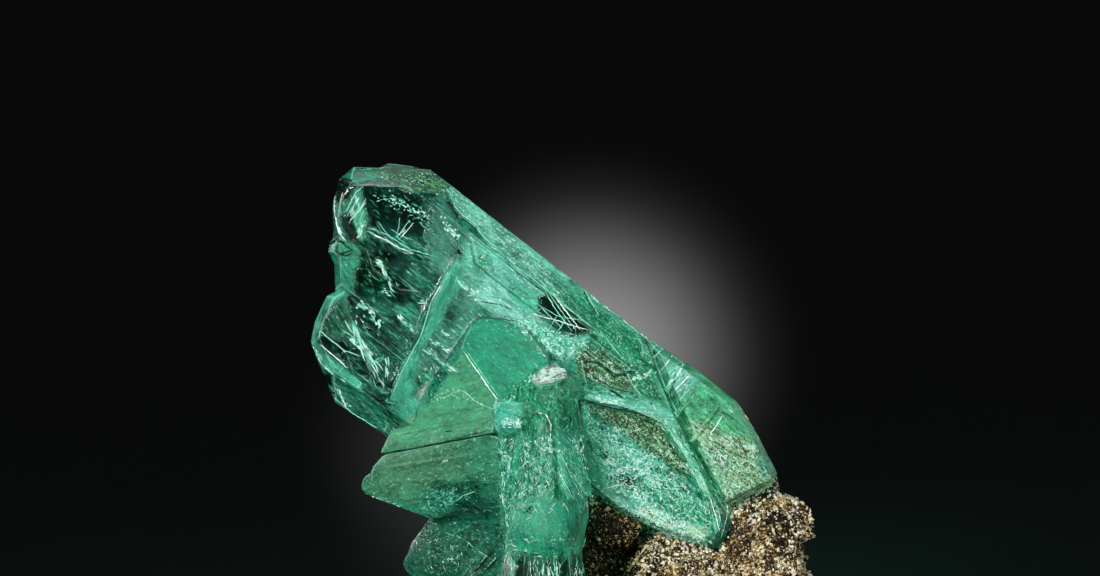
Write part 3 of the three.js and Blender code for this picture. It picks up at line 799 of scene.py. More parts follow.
PATCHES: tuple[Patch, ...] = (
    # left end: windows framed by green rims
    Patch(Look.GAUZE, 38, 1, ((300, 150), (425, 165), (470, 262), (395, 415), (400, 445), (300, 430))),
    Patch(Look.WINDOW, 38, 0.5, ((336, 186), (342, 177), (352, 178), (355, 185), (348, 196), (337, 200)),
        through=True),
    Patch(Look.GREEN, 80, 0.3, ((338, 215), (346, 212), (351, 204), (345, 202), (338, 208))),
    Patch(Look.WINDOW, 60, 0.3, ((344, 214), (350, 212), (358, 236), (352, 240), (342, 224)), through=True),
    Patch(Look.CRACKED, 78, 0.3, ((355, 190), (362, 186), (368, 222), (362, 240), (352, 216))),
    Patch(Look.GREEN, 5, 0.4, ((342, 176), (355, 167), (372, 171), (404, 176), (372, 182), (355, 183))),
    Patch(Look.WINDOW, 38, 0.8, ((363, 186), (376, 181), (400, 187), (420, 197), (430, 212), (424, 228),
        (404, 238), (395, 240), (372, 224), (366, 206)), through=True),
    Patch(Look.WINDOW, 38, 0.6, ((376, 245), (400, 250), (408, 262), (396, 266), (370, 256)), through=True),
    Patch(Look.MIST, 45, 1.6, ((430, 196), (450, 198), (460, 250), (446, 275), (430, 270), (428, 236))),
    Patch(Look.GREEN, 20, 0.3, ((328, 248), (336, 236), (350, 243), (358, 252), (350, 265), (334, 262))),
    Patch(Look.GREEN, 60, 0.6, ((334, 262), (356, 258), (360, 290), (345, 298), (332, 292))),
    Patch(Look.WINDOW, 38, 0.8, ((356, 274), (370, 262), (396, 270), (408, 286), (412, 303), (398, 302),
        (374, 300), (352, 296)), through=True),
    Patch(Look.PALE, 110, 0.35, ((340, 286), (322, 299), (316, 315), (310, 335), (309, 343), (316, 352),
        (322, 350), (317, 340), (320, 326), (325, 310), (346, 294))),
    Patch(Look.DEEP, 60, 0.6, ((326, 311), (345, 296), (351, 311), (346, 330), (334, 335), (321, 330))),
    Patch(Look.WINDOW, 38, 0.7, ((350, 300), (365, 305), (382, 325), (402, 345), (396, 352), (384, 345),
        (370, 331), (352, 316)), through=True),
    Patch(Look.WINDOW, 42, 0.7, ((321, 339), (341, 340), (371, 354), (397, 385), (376, 381), (350, 366),
        (330, 356)), through=True),
    Patch(Look.PALE, 38, 0.35, ((315, 350), (330, 358), (346, 372), (362, 380), (358, 390), (340, 379),
        (328, 371), (317, 361))),
    Patch(Look.CRACKED, 38, 0.5, ((322, 372), (330, 374), (345, 385), (380, 405), (404, 424), (395, 440),
        (375, 426), (350, 411), (335, 396))),
    Patch(Look.CLOUD, 38, 1.2, ((350, 396), (372, 404), (372, 418), (352, 408))),
    Patch(Look.WINDOW, 38, 0.3, ((322, 373), (331, 375), (332, 385), (324, 384)), through=True),
    # middle of the face
    Patch(Look.CLOUD, 38, 1.2, ((465, 262), (452, 300), (420, 350), (400, 400), (430, 398), (462, 350),
        (480, 310))),
    Patch(Look.DEEP, 38, 1.4, ((438, 308), (455, 303), (462, 322), (446, 330))),
    Patch(Look.DEEP, 38, 1.2, ((426, 364), (440, 368), (452, 382), (440, 388), (426, 378))),
    Patch(Look.DEEP, 38, 1.2, ((406, 382), (420, 384), (428, 398), (414, 402))),
    Patch(Look.MINT, 113, 0.3, ((455, 261), (463, 258), (466, 270), (452, 300), (440, 322), (424, 350),
        (412, 378), (410, 394), (400, 402), (391, 399), (401, 370), (421, 336), (432, 305), (445, 275))),
    Patch(Look.MINT, 70, 1, ((400, 384), (412, 380), (424, 398), (428, 408), (410, 420), (396, 408))),
    Patch(Look.DARK, 30, 0.5, ((448, 203), (462, 205), (470, 216), (456, 217))),
    Patch(Look.HAZE, 38, 1.4, ((470, 232), (500, 250), (545, 292), (540, 320), (500, 312), (470, 290),
        (462, 262))),
    Patch(Look.CRACKED, 30, 0.6, ((472, 255), (486, 252), (492, 268), (478, 274))),
    Patch(Look.MILK, 38, 1.1, ((472, 294), (486, 280), (506, 290), (524, 306), (545, 324), (545, 345),
        (528, 330), (500, 314), (480, 304))),
    Patch(Look.PALE, 30, 0.8, ((505, 278), (530, 285), (545, 310), (525, 312), (508, 295))),
    Patch(Look.WINDOW, 52, 0.25, ((538, 297), (550, 293), (566, 301), (585, 320), (590, 332), (574, 335),
        (560, 331), (549, 318), (539, 310)), through=True),
    Patch(Look.SNOW, 48, 0.8, ((516, 320), (530, 320), (552, 334), (578, 340), (582, 354), (562, 364),
        (542, 354), (524, 338))),
    Patch(Look.PALE, 150, 0.5, ((565, 342), (590, 334), (582, 350), (566, 362))),
    # side face along the long edge, and the rough top end
    Patch(Look.BAND, 38, 0.2, ((430, 165), (650, 338), (640, 345), (590, 326), (560, 301), (535, 281),
        (510, 261), (505, 253), (490, 244), (480, 234), (475, 224), (463, 216), (455, 208), (450, 193))),
    Patch(Look.EMERALD, 50, 1.6, ((556, 276), (650, 340), (628, 338), (596, 328), (566, 303))),
    Patch(Look.MOSS, 12, 0.35, ((372, 169), (388, 162), (432, 167), (450, 186), (446, 194), (405, 192),
        (395, 184))),
    Patch(Look.BROWN, 20, 0.5, ((414, 176), (434, 180), (446, 190), (430, 190), (418, 184))),
    # right of the middle, over the rock
    Patch(Look.EMERALD, 55, 0.8, ((590, 328), (650, 340), (668, 385), (664, 400), (630, 392), (626, 360),
        (600, 345))),
    Patch(Look.BROWN, 35, 0.5, ((578, 352), (600, 347), (620, 362), (630, 378), (632, 392), (602, 386),
        (580, 374))),
    Patch(Look.CRACKED, 25, 0.6, ((578, 382), (604, 388), (640, 398), (650, 408), (600, 402), (578, 396))),
    Patch(Look.SEAM, 58, 0.4, ((646, 400), (672, 414), (688, 440), (708, 466), (722, 492), (732, 520),
        (722, 550), (712, 520), (700, 492), (686, 466), (666, 436), (652, 418))),
    Patch(Look.HAZE, 12, 0.4, ((584, 394), (612, 398), (650, 402), (670, 414), (676, 428), (660, 420),
        (620, 409), (586, 403))),
    Patch(Look.CRACKED, 70, 0.8, ((574, 400), (590, 404), (600, 440), (604, 486), (592, 480), (582, 450))),
    Patch(Look.SNOW, 47, 0.8, ((578, 404), (612, 420), (650, 448), (690, 486), (712, 520), (700, 534),
        (655, 520), (625, 500), (600, 486), (592, 440))),
    Patch(Look.BROWN, 50, 0.7, ((582, 403), (612, 409), (642, 413), (658, 420), (672, 440), (691, 468),
        (684, 478), (668, 462), (648, 446), (620, 428), (598, 416))),
    Patch(Look.EMERALD, 48, 1, ((650, 478), (676, 484), (710, 522), (696, 530), (660, 510))),
    Patch(Look.DARK, 10, 0.4, ((616, 476), (626, 471), (637, 480), (630, 486), (618, 485))),
    Patch(Look.PALE, 40, 0.6, ((574, 462), (592, 474), (622, 486), (650, 504), (640, 522), (606, 506),
        (578, 484))),
    Patch(Look.IVORY, 32, 0.6, ((630, 508), (648, 506), (672, 520), (708, 528), (706, 548), (664, 538),
        (634, 522))),
    # partly the pale crust's own colour, partly painted light: this milk patch and the ivory one after it
    # brighten the plate's down-facing bevel, which lies in shade
    Patch(Look.MILK, 35, 0.4, ((584, 476), (600, 486), (622, 500), (640, 510), (632, 524), (612, 518),
        (590, 496))),
    Patch(Look.IVORY, 30, 0.5, ((630, 514), (660, 524), (704, 534), (708, 556), (680, 548), (650, 540),
        (624, 524))),
    Patch(Look.GREEN, 64, 0.35, ((716, 496), (724, 500), (732, 528), (724, 552), (712, 550), (706, 538),
        (718, 530))),
    # twin limb
    Patch(Look.VERDANT, 35, 0.4, ((648, 336), (702, 370), (742, 402), (782, 474), (770, 490), (732, 508),
        (716, 480), (668, 400))),
    Patch(Look.HAZE, 140, 0.7, ((650, 342), (690, 368), (700, 382), (684, 396), (672, 402), (656, 372))),
    Patch(Look.CREAM, 38, 1, ((684, 424), (706, 424), (742, 436), (760, 450), (764, 476), (742, 498),
        (728, 500), (712, 474), (694, 444))),
    Patch(Look.CRACKED, 60, 0.8, ((756, 458), (774, 462), (778, 476), (762, 486))),
    Patch(Look.CREAM, 20, 0.5, ((718, 490), (742, 492), (776, 474), (786, 488), (756, 504), (724, 516))),
    Patch(Look.SEAM, 62, 0.3, ((664, 384), (680, 414), (702, 452), (724, 492), (719, 496), (700, 458),
        (678, 418), (662, 390))),
    Patch(Look.GREEN, 62, 0.6, ((416, 376), (434, 364), (444, 384), (426, 404), (410, 396))),
    # blades in front
    Patch(Look.BLADE, -12, 0.3, ((462, 350), (450, 374), (436, 396), (402, 424), (388, 439), (378, 454),
        (494, 430), (493, 408), (499, 400), (480, 374)), -6),
    Patch(Look.TEAL, 40, 0.25, ((477, 316), (500, 320), (522, 328), (540, 346), (544, 360), (530, 376),
        (512, 386), (498, 400), (480, 374), (464, 350), (469, 332)), -10.1),
    Patch(Look.FERN, -12, 0.4, ((378, 453), (494, 430), (502, 444), (502, 505), (436, 518), (398, 506),
        (368, 500)), -3),
    Patch(Look.SAGE, -10, 2.6, ((356, 490), (366, 470), (380, 452), (450, 440), (466, 470), (410, 490),
        (376, 502)), -3),
    Patch(Look.DEEP, -8, 1.6, ((440, 486), (470, 478), (502, 476), (502, 505), (440, 512), (430, 500)), -3),
    Patch(Look.CRACKED, -10, 0.7, ((420, 494), (450, 488), (462, 500), (436, 516), (424, 508)), -3),
    Patch(Look.DEEP, 8, 0.4, ((436, 517), (462, 498), (476, 488), (502, 500), (512, 540), (504, 600),
        (400, 600), (398, 566), (408, 545), (424, 526)), -3),
    Patch(Look.DEEP, 0, 1.2, ((418, 544), (464, 540), (470, 556), (440, 574), (416, 566)), -3),
    # column
    Patch(Look.EMERALD, 84, 0.3, ((494, 404), (520, 382), (534, 370), (580, 378), (582, 430), (602, 486),
        (594, 540), (590, 640), (494, 640), (504, 540), (498, 480), (496, 440)), -8),
    Patch(Look.EMERALD, 70, 0.9, ((528, 386), (576, 384), (578, 440), (560, 432), (548, 410), (524, 404)),
        -11.5),
    Patch(Look.CRACKED, 96, 1.2, ((504, 436), (548, 436), (552, 480), (540, 494), (504, 500), (502, 460)),
        -11.5),
    Patch(Look.MINT, 64, 0.8, ((550, 430), (580, 430), (600, 490), (592, 520), (578, 512), (560, 470)), -8),
    Patch(Look.SNOW, 70, 0.6, ((572, 436), (582, 436), (584, 452), (574, 452)), -11.5),
    Patch(Look.CRACKED, 20, 0.6, ((508, 498), (530, 494), (534, 514), (514, 516)), -11.5),
    Patch(Look.TEAL, 80, 0.9, ((512, 510), (540, 496), (572, 500), (577, 530), (568, 548), (520, 548),
        (510, 530)), -11.5),
    Patch(Look.PALE, 86, 0.4, ((580, 500), (593, 490), (590, 520), (583, 547), (576, 548)), -11.5),
    Patch(Look.DEEP, 88, 0.5, ((502, 556), (516, 552), (560, 554), (582, 552), (586, 640), (498, 640)),
        -11.5),
    # painted shade: dark stripes on the clear windows at the column's foot, standing in for the dark seen
    # through them
    Patch(Look.DARK, 88, 0.2, ((517, 561), (527, 560), (527, 600), (517, 600)), -11.5),
    Patch(Look.DARK, 88, 0.2, ((562, 560), (573, 561), (573, 600), (561, 600)), -11.5),
    Patch(Look.DARK, 60, 0.3, ((520, 458), (528, 457), (530, 467), (522, 469)), -11.5),
    Patch(Look.DARK, 60, 0.25, ((542, 480), (549, 478), (550, 488), (542, 487)), -11.5),
    Patch(Look.PALE, 30, 0.2, ((494, 404), (508, 400), (523, 402), (524, 426), (508, 436), (496, 430)),
        -14),
    Patch(Look.CROWN, 5, 0.3, ((506, 421), (516, 417), (523, 420), (521, 427), (514, 424)), -14),
    Patch(Look.CROWN, -20, 0.2, ((531, 379), (540, 370), (560, 363), (568, 367), (566, 376), (552, 384),
        (538, 385)), -11.5),
)


@dataclass(frozen=True)
class Worn:
    """A face whose edges have melted away, by how much, and how far in from its outline that starts.

    Flat is how far its points move on to the plane that fits its core best. It ends softly, over
    twice the blur across and once the deep blur in depth, in millimetres.
    """

    share: float
    inset: float
    depth: float
    outline: tuple[Place, ...]
    flat: float = 0.0
    core: float = 0.9
    blur: float = 0.8
    deep_blur: float = 1.5

    def weight(self, place: Array) -> Array:
        """How much each point belongs to the face, from 0 to 1."""
        outside = outside_by(place[:, [0, 2]], from_picture(self.outline)) + self.inset
        across = smooth_step(self.blur, -self.blur, outside)
        return across * smooth_step(self.depth + self.deep_blur, self.depth, place[:, 1])

    def levelled(self, place: Array) -> Array:
        """The points with the face moved on to its plane, y = a + b x + c z by least squares."""
        weight = self.weight(place)
        terms = np.stack([np.ones(len(place)), place[:, 0], place[:, 2]], 1)
        chosen = weight > self.core
        plane, *_rest = np.linalg.lstsq(terms[chosen], place[chosen, 1], rcond=None)
        moved = place.copy()
        moved[:, 1] += self.flat * weight * (terms @ plane - place[:, 1])
        return moved


WORN: tuple[Worn, ...] = (
    Worn(0.4, 0, -11, ((500, 386), (582, 384), (600, 490), (588, 552), (498, 552), (498, 440))),
    Worn(0.9, 0.9, -5, ((388, 448), (430, 402), (462, 394), (494, 408), (494, 426), (440, 438))),
    Worn(0.9, 0.9, -4, ((360, 492), (380, 456), (440, 444), (502, 432), (504, 502), (440, 512),
        (398, 504))),
    Worn(1, 0.9, -3.5, ((404, 552), (430, 522), (464, 500), (506, 502), (512, 590), (410, 590)), 0.9),
    Worn(0.8, 0.3, -8, ((450, 260), (470, 262), (446, 320), (428, 360), (430, 410), (396, 412), (388, 398),
        (400, 370), (428, 320))),
)


@dataclass
class Front:
    """How near the viewer the crystals' foremost surface is, on a grid over the picture plane."""

    surface: Surface
    cell: float = 0.12
    step: float = 0.5
    slope: float = 1.3

    def __post_init__(self) -> None:
        """Lays every triangle on the grid and keeps the nearest depth, in millimetres."""
        place = to_plane(self.surface.points)
        self.low = place[:, [0, 2]].min(axis=0)
        size = np.ceil((place[:, [0, 2]].max(axis=0) - self.low) / self.cell).astype(int) + 2
        self.depth = np.full(size, np.inf)
        for corners in place[self.surface.triangles]:
            self._lay(corners)

    def _lay(self, corners: Array) -> None:
        """Depth of one triangle at the cells inside it, from its shares of the three corners."""
        flat = (corners[:, [0, 2]] - self.low) / self.cell
        first, last = np.floor(flat.min(axis=0)).astype(int), np.ceil(flat.max(axis=0)).astype(int) + 1
        side, other = flat[1] - flat[0], flat[2] - flat[0]
        doubled = side[0] * other[1] - side[1] * other[0]
        if abs(doubled) < 1e-6:
            return
        x, z = np.meshgrid(np.arange(first[0], last[0]), np.arange(first[1], last[1]), indexing="ij")
        right, up = x - flat[0, 0], z - flat[0, 1]
        one = (right * other[1] - up * other[0]) / doubled
        two = (up * side[0] - right * side[1]) / doubled
        inside = (one >= -0.01) & (two >= -0.01) & (one + two <= 1.01)
        depth = corners[0, 1] + one * (corners[1, 1] - corners[0, 1]) + two * (corners[2, 1] - corners[0, 1])
        part = self.depth[first[0]:last[0], first[1]:last[1]]
        part[inside] = np.minimum(part[inside], depth[inside])

    def at(self, places: Array) -> Array:
        """The foremost depth at places across and up, and infinity where no crystal is."""
        cells = np.rint((places - self.low) / self.cell).astype(int)
        cells = np.clip(cells, 0, np.array(self.depth.shape) - 1)
        return self.depth[cells[..., 0], cells[..., 1]]

    def laid(self, paths: Array, under: Array) -> tuple[Array, Array]:
        """Lays flat paths on the foremost surface, or under it.

        Args:
            paths: (n, k, 2) stations across and up.
            under: n distances behind the surface.

        Returns:
            (n, k, 3) stations, and which of them lie on the crystals.
        """
        depth = self.at(paths)
        there = np.isfinite(depth)
        depth = np.where(there, depth, 0.0)
        apart = np.linalg.norm(np.diff(paths, axis=1), axis=2)
        joined = np.abs(np.diff(depth, axis=1)) < self.step + self.slope * apart
        there[:, 1:] &= joined
        there[:, :-1] &= joined
        return np.stack([paths[..., 0], depth + under[:, None], paths[..., 1]], -1), there


@dataclass
class CrystalCluster:
    """All the crystals, as one see-through body with softened edges and fine relief.

    Triangles are small down to the seen depth, in millimetres. Edges that bend by more than the
    soft bend, in degrees, are rounded, and the bold ones also get a painted highlight where they
    stand out and painted shade where they fold in.
    """

    front: Front
    front_edge: float = 0.64 * MM
    back_edge: float = 2.3 * MM
    seen_depth: float = 0.6
    soft_bend: float = 12.0
    bold_bend: float = 34.0
    rounds: int = 3
    melting_rounds: int = 60
    back_painted_edge_light: float = 0.35
    melted_painted_edge_light: float = 0.05
    clear_to: float = -14.0
    back_cloud: Place = (0.05, 0.55)
    relief: float = 0.05
    rough_relief: float = 0.1
    drawn_out: float = 0.85
    finish: CrystalFinish = field(default_factory=CrystalFinish)

    def build(self) -> bpy.types.Object:
        """Refines the CAD solid's surface, softens and wears it, roughens it and dresses it."""
        surface = cad_surface(CLUSTER).refined(self.longest)
        soft = np.maximum(*surface.creases(self.soft_bend))
        crest, fold = surface.creases(self.bold_bend)
        surface = surface.softened(soft, self.rounds)
        for worn in WORN:
            surface.points = to_model(worn.levelled(to_plane(surface.points)))
        melted = np.max([worn.share * worn.weight(to_plane(surface.points)) for worn in WORN], axis=0)
        surface = surface.softened(melted, self.melting_rounds)
        place = to_plane(surface.points)
        looks, tint = self.paint(place)
        surface.points = self.roughened(surface, place, looks)
        # painted light: the crest attribute, a painted highlight on edges that stand out and painted shade
        # in folds, weaker behind and on melted edges
        strong = 1.0 + (self.back_painted_edge_light - 1.0) * smooth_step(-2.0, 1.0, place[:, 1])
        looks["crest"] = (crest - fold) * (1.0 - (1.0 - self.melted_painted_edge_light) * melted) * strong
        finish = self.finish.make()
        piece = put_in_scene("crystals", surface, finish, numbers=looks, colours={"tint": tint})
        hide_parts(CLUSTER)
        return piece

    def longest(self, middles: Array) -> Array:
        """The most an edge may measure, which is less on the surface that the viewer sees."""
        place = to_plane(middles)
        seen = place[:, 1] < self.front.at(place[:, [0, 2]]) + self.seen_depth
        return np.where(seen, self.front_edge, self.back_edge)

    def paint(self, place: Array) -> tuple[dict[str, Array], Array]:
        """Lays the patches over one another; behind, the left end is clear and the rest cloudy.

        Args:
            place: the points in picture plane millimetres.

        Returns:
            The point attributes by name, and the tint as red, green and blue.
        """
        count = len(place)
        start = Look.GREEN
        looks = {name: np.full(count, value) for name, value in start.numbers.items()}
        behind = place[:, 1] > 0.0
        looks["cloud"][behind] = np.where(place[behind, 0] < self.clear_to, *self.back_cloud)
        looks["turn"] = np.full(count, -AXIS_FALL)
        tint = np.tile(np.array(start.value[0]), (count, 1))
        wobble = layered_noise(place, 2.4, 5)
        for patch in PATCHES:
            share = patch.share(place, wobble)
            self._blend(looks, tint, patch.look, share)
            looks["turn"] = np.where(share > 0.5, -math.radians(patch.fall), looks["turn"])
        return looks, np.clip(tint, 0.0, 1.0)

    @staticmethod
    def _blend(looks: dict[str, Array], tint: Array, look: Look, share: Array) -> None:
        """Moves the attributes towards a look by a share a point."""
        for name, value in look.numbers.items():
            looks[name] += share * (value - looks[name])
        tint += share[:, None] * (np.array(look.value[0]) - tint)

    def roughened(self, surface: Surface, place: Array, looks: dict[str, Array]) -> Array:
        """Moves points along their normals by streaks and pits; gives their new places in metres.

        The streaks are noise drawn out along each place's own direction, the pits fine noise.
        """
        run = np.stack([np.cos(looks["turn"]), np.zeros(len(place)), np.sin(looks["turn"])], 1)
        along = np.einsum("ij,ij->i", place, run)
        drawn = place - self.drawn_out * along[:, None] * run
        height = self.relief * layered_noise(drawn, 1.5, 31)
        snowy = np.clip(looks["snow"], 0.0, 1.0)
        height += self.rough_relief * snowy * layered_noise(drawn, 1.1, 47)
        height += self.rough_relief * looks["rough"] * layered_noise(place, 1.3, 61)
        return surface.points + surface.point_normals() * (height * MM)[:, None]


# Fractures and inclusions, with slivers of painted highlight and shade

class Ink(Enum):
    """Tints of slivers."""

    WHITE = (0.82, 1.0, 0.94)
    MINT = (0.26, 0.76, 0.56)
    LEAF = (0.05, 0.34, 0.2)
    IVORY = (0.72, 0.82, 0.55)
    DARK = (0.003, 0.016, 0.01)
    UMBER = (0.06, 0.035, 0.012)


WHITE, MINT, LEAF, IVORY, DARK, UMBER = Ink


@dataclass(frozen=True)
class Stroke:
    """One drawn line on the crystals: stations and width in picture units."""

    ink: Ink
    width: float
    line: tuple[Place, ...]


@dataclass(frozen=True)
class Tuft:
    """Slivers scattered along a line; spread in picture units, sizes in millimetres.

    Stray is how far their directions scatter, in degrees. Under is how deep they lie.
    """

    ink: Ink
    line: tuple[Place, ...]
    spread: float
    count: int
    length: Place
    width: Place
    stray: float
    under: float = 0.0


@dataclass(frozen=True)
class Strew:
    """Slivers scattered over an outline, all running about one way, in degrees below level."""

    ink: Ink
    fall: float
    outline: tuple[Place, ...]
    count: int
    length: Place
    width: Place
    stray: float
    under: float = 0.0


STROKES: tuple[Stroke, ...] = (
    # left end
    # painted highlight: white lines along the rim of the left end
    Stroke(WHITE, 1.6, ((335, 196), (334, 206), (336, 220), (339, 232), (346, 241))),
    Stroke(WHITE, 2.6, ((336, 217), (338, 226), (342, 234))),
    Stroke(MINT, 1.2, ((364, 186), (356, 193), (350, 204), (347, 212))),
    Stroke(MINT, 0.7, ((378, 221), (385, 231), (394, 241))),
    Stroke(MINT, 0.8, ((397, 237), (404, 228), (410, 220))),
    Stroke(WHITE, 0.7, ((399, 240), (407, 231), (414, 222))),
    Stroke(MINT, 0.6, ((397, 236), (399, 226), (400, 217))),
    Stroke(MINT, 0.7, ((391, 229), (402, 236), (414, 240))),
    Stroke(WHITE, 0.9, ((370, 232), (386, 240), (400, 248), (414, 254))),
    # painted shade: wide dark lines over the clear windows of the left end, standing in for the dark seen
    # through them
    Stroke(DARK, 6.5, ((337, 184), (344, 181), (352, 181))),
    Stroke(DARK, 5, ((338, 194), (342, 191), (346, 190))),
    Stroke(DARK, 6, ((342, 216), (348, 226), (356, 240))),
    Stroke(DARK, 3, ((330, 244), (337, 240), (345, 243))),
    Stroke(DARK, 2, ((334, 250), (342, 254), (352, 250))),
    # painted shade over a clear window low on the left end
    Stroke(DARK, 5, ((325, 380), (329, 388), (334, 393))),
    Stroke(MINT, 1, ((372, 228), (390, 236), (410, 249), (434, 256))),
    Stroke(MINT, 1.2, ((319, 329), (329, 338), (344, 350), (361, 356))),
    Stroke(WHITE, 1.1, ((320, 344), (337, 358), (348, 368))),
    Stroke(MINT, 0.9, ((343, 330), (352, 336), (360, 341))),
    Stroke(WHITE, 1.3, ((310, 344), (317, 352), (319, 361), (330, 372))),
    Stroke(MINT, 1.2, ((322, 299), (316, 316), (311, 336))),
    Stroke(WHITE, 2.2, ((339, 390), (342, 398), (346, 407))),
    Stroke(MINT, 1.2, ((334, 398), (352, 413), (376, 428))),
    Stroke(DARK, 1.4, ((338, 238), (346, 246), (356, 252))),
    Stroke(DARK, 1.6, ((338, 254), (346, 256), (354, 252))),
    # ridge, middle and band
    Stroke(WHITE, 1.2, ((455, 261), (446, 276), (432, 300))),
    Stroke(MINT, 1.1, ((432, 300), (421, 336), (402, 371), (391, 398))),
    Stroke(DARK, 3.4, ((458, 250), (460, 254))),
    Stroke(MINT, 1.1, ((452, 196), (455, 207), (463, 215), (475, 223), (480, 233), (490, 243), (505, 252))),
    Stroke(MINT, 1.1, ((505, 252), (511, 262), (520, 270), (535, 280), (548, 291), (562, 303), (590, 326))),
    Stroke(DARK, 1.2, ((453, 200), (453, 209), (462, 218), (473, 226), (478, 236), (489, 247), (503, 256))),
    Stroke(DARK, 1, ((503, 256), (510, 266), (519, 274), (533, 284), (546, 294))),
    Stroke(DARK, 1.7, ((583, 291), (588, 301), (596, 314))),
    Stroke(MINT, 0.9, ((585, 290), (590, 300), (599, 315))),
    Stroke(DARK, 1.2, ((477, 301), (498, 304), (512, 309))),
    Stroke(LEAF, 1.2, ((490, 296), (506, 300), (516, 305))),
    Stroke(DARK, 1, ((498, 314), (508, 317), (520, 320))),
    Stroke(MINT, 1.2, ((545, 291), (556, 310), (572, 331))),
    Stroke(WHITE, 1.3, ((553, 294), (566, 311), (580, 329))),
    Stroke(MINT, 0.9, ((549, 293), (560, 309), (576, 330))),
    Stroke(MINT, 1, ((537, 303), (548, 314), (562, 328))),
    Stroke(WHITE, 1, ((532, 314), (556, 320), (588, 330))),
    Stroke(MINT, 0.9, ((541, 306), (558, 316), (586, 321))),
    Stroke(MINT, 0.9, ((557, 315), (552, 324), (547, 332))),
    Stroke(MINT, 0.9, ((566, 316), (562, 325), (556, 333))),
    # right of the middle
    Stroke(DARK, 1.2, ((598, 351), (606, 356), (618, 367), (626, 372))),
    Stroke(MINT, 1, ((624, 368), (632, 384), (642, 396))),
    Stroke(MINT, 0.9, ((600, 330), (612, 346), (626, 362))),
    Stroke(DARK, 2.2, ((609, 389), (616, 393), (623, 398))),
    Stroke(DARK, 1, ((604, 386), (618, 389), (634, 393))),
    Stroke(DARK, 1.3, ((578, 399), (600, 405), (625, 410), (650, 417))),
    Stroke(MINT, 1, ((636, 398), (650, 404), (660, 414), (676, 440), (690, 462), (706, 488))),
    Stroke(WHITE, 1.6, ((607, 488), (616, 485), (626, 484), (638, 487))),
    Stroke(DARK, 2.6, ((620, 474), (626, 477), (632, 480))),
    Stroke(DARK, 2, ((618, 484), (626, 484), (633, 485))),
    Stroke(WHITE, 1.1, ((709, 495), (715, 514), (720, 533))),
    Stroke(WHITE, 1.2, ((728, 500), (727, 516), (721, 538))),
    Stroke(MINT, 1, ((714, 497), (719, 512), (722, 528))),
    Stroke(MINT, 1, ((700, 498), (690, 512), (682, 520))),
    # seam and twin limb
    Stroke(DARK, 1.4, ((645, 338), (650, 352), (658, 376), (668, 400), (676, 416))),
    Stroke(DARK, 1.2, ((676, 416), (692, 444), (706, 470), (716, 490))),
    Stroke(MINT, 1.1, ((648, 339), (652, 352), (661, 377), (671, 400), (684, 424), (704, 456), (722, 490))),
    Stroke(WHITE, 1.3, ((651, 350), (655, 346), (660, 344))),
    Stroke(WHITE, 1.1, ((652, 358), (657, 354), (662, 349))),
    Stroke(WHITE, 1.3, ((660, 372), (667, 363), (674, 353))),
    Stroke(WHITE, 2.4, ((667, 384), (674, 379), (680, 371), (683, 364))),
    Stroke(WHITE, 1.4, ((671, 396), (678, 387), (690, 374))),
    Stroke(MINT, 1.3, ((675, 405), (683, 396), (692, 386))),
    Stroke(MINT, 1.2, ((681, 410), (688, 402), (694, 394))),
    Stroke(WHITE, 1.4, ((710, 434), (716, 426), (722, 416))),
    Stroke(UMBER, 1.2, ((738, 438), (743, 448), (747, 456))),
    Stroke(UMBER, 1.1, ((714, 440), (722, 446), (730, 452))),
    # blades and column
    Stroke(WHITE, 1.3, ((464, 351), (480, 374), (497, 398))),
    Stroke(MINT, 1, ((468, 352), (483, 374), (499, 395))),
    Stroke(MINT, 1.1, ((450, 394), (455, 391), (462, 390), (468, 393), (474, 399), (483, 404), (494, 408))),
    Stroke(LEAF, 0.9, ((381, 453), (400, 449), (425, 446))),
    Stroke(DARK, 0.7, ((425, 446), (460, 437), (493, 428))),
    Stroke(LEAF, 0.8, ((388, 443), (408, 439), (434, 434))),
    Stroke(DARK, 1.4, ((446, 431), (452, 430))),
    Stroke(MINT, 1, ((456, 500), (464, 494), (476, 490))),
    Stroke(MINT, 1, ((512, 540), (502, 550), (488, 564))),
    Stroke(MINT, 0.7, ((430, 521), (446, 532), (464, 538), (478, 549), (490, 556))),
    Stroke(MINT, 0.6, ((421, 546), (422, 558), (430, 570))),
    Stroke(DARK, 2.4, ((472, 573), (484, 560), (497, 547))),
    Stroke(DARK, 1.4, ((482, 574), (491, 564), (500, 555))),
    Stroke(LEAF, 1.6, ((436, 540), (452, 534), (470, 524), (486, 508))),
    Stroke(MINT, 0.9, ((481, 551), (472, 562), (462, 576))),
    Stroke(MINT, 0.9, ((487, 553), (478, 566), (470, 576))),
    Stroke(WHITE, 1.3, ((536, 411), (546, 413), (551, 423), (550, 438))),
    Stroke(UMBER, 1.6, ((530, 419), (533, 414), (538, 411))),
    Stroke(MINT, 1.1, ((553, 452), (562, 476), (574, 498), (584, 508))),
    Stroke(MINT, 1, ((560, 452), (570, 472), (580, 492))),
    Stroke(DARK, 1.5, ((554, 455), (558, 464), (562, 474))),
    Stroke(WHITE, 1.4, ((505, 482), (504, 499), (507, 514), (510, 532))),
    Stroke(MINT, 1, ((498, 446), (505, 456), (511, 462))),
    Stroke(DARK, 1.8, ((514, 548), (536, 552), (566, 551))),
    # painted shade: wide dark lines on the clear windows at the column's foot
    Stroke(DARK, 10, ((521, 556), (522, 610))),
    Stroke(DARK, 9, ((567, 557), (567, 610))),
    Stroke(MINT, 1.3, ((593, 490), (591, 508), (589, 522), (583, 546))),
    Stroke(WHITE, 1.6, ((509, 548), (503, 566), (499, 590))),
    Stroke(WHITE, 1.6, ((530, 556), (531, 590))),
    Stroke(WHITE, 1.4, ((548, 556), (549, 590))),
    Stroke(MINT, 1.6, ((556, 558), (558, 590))),
)

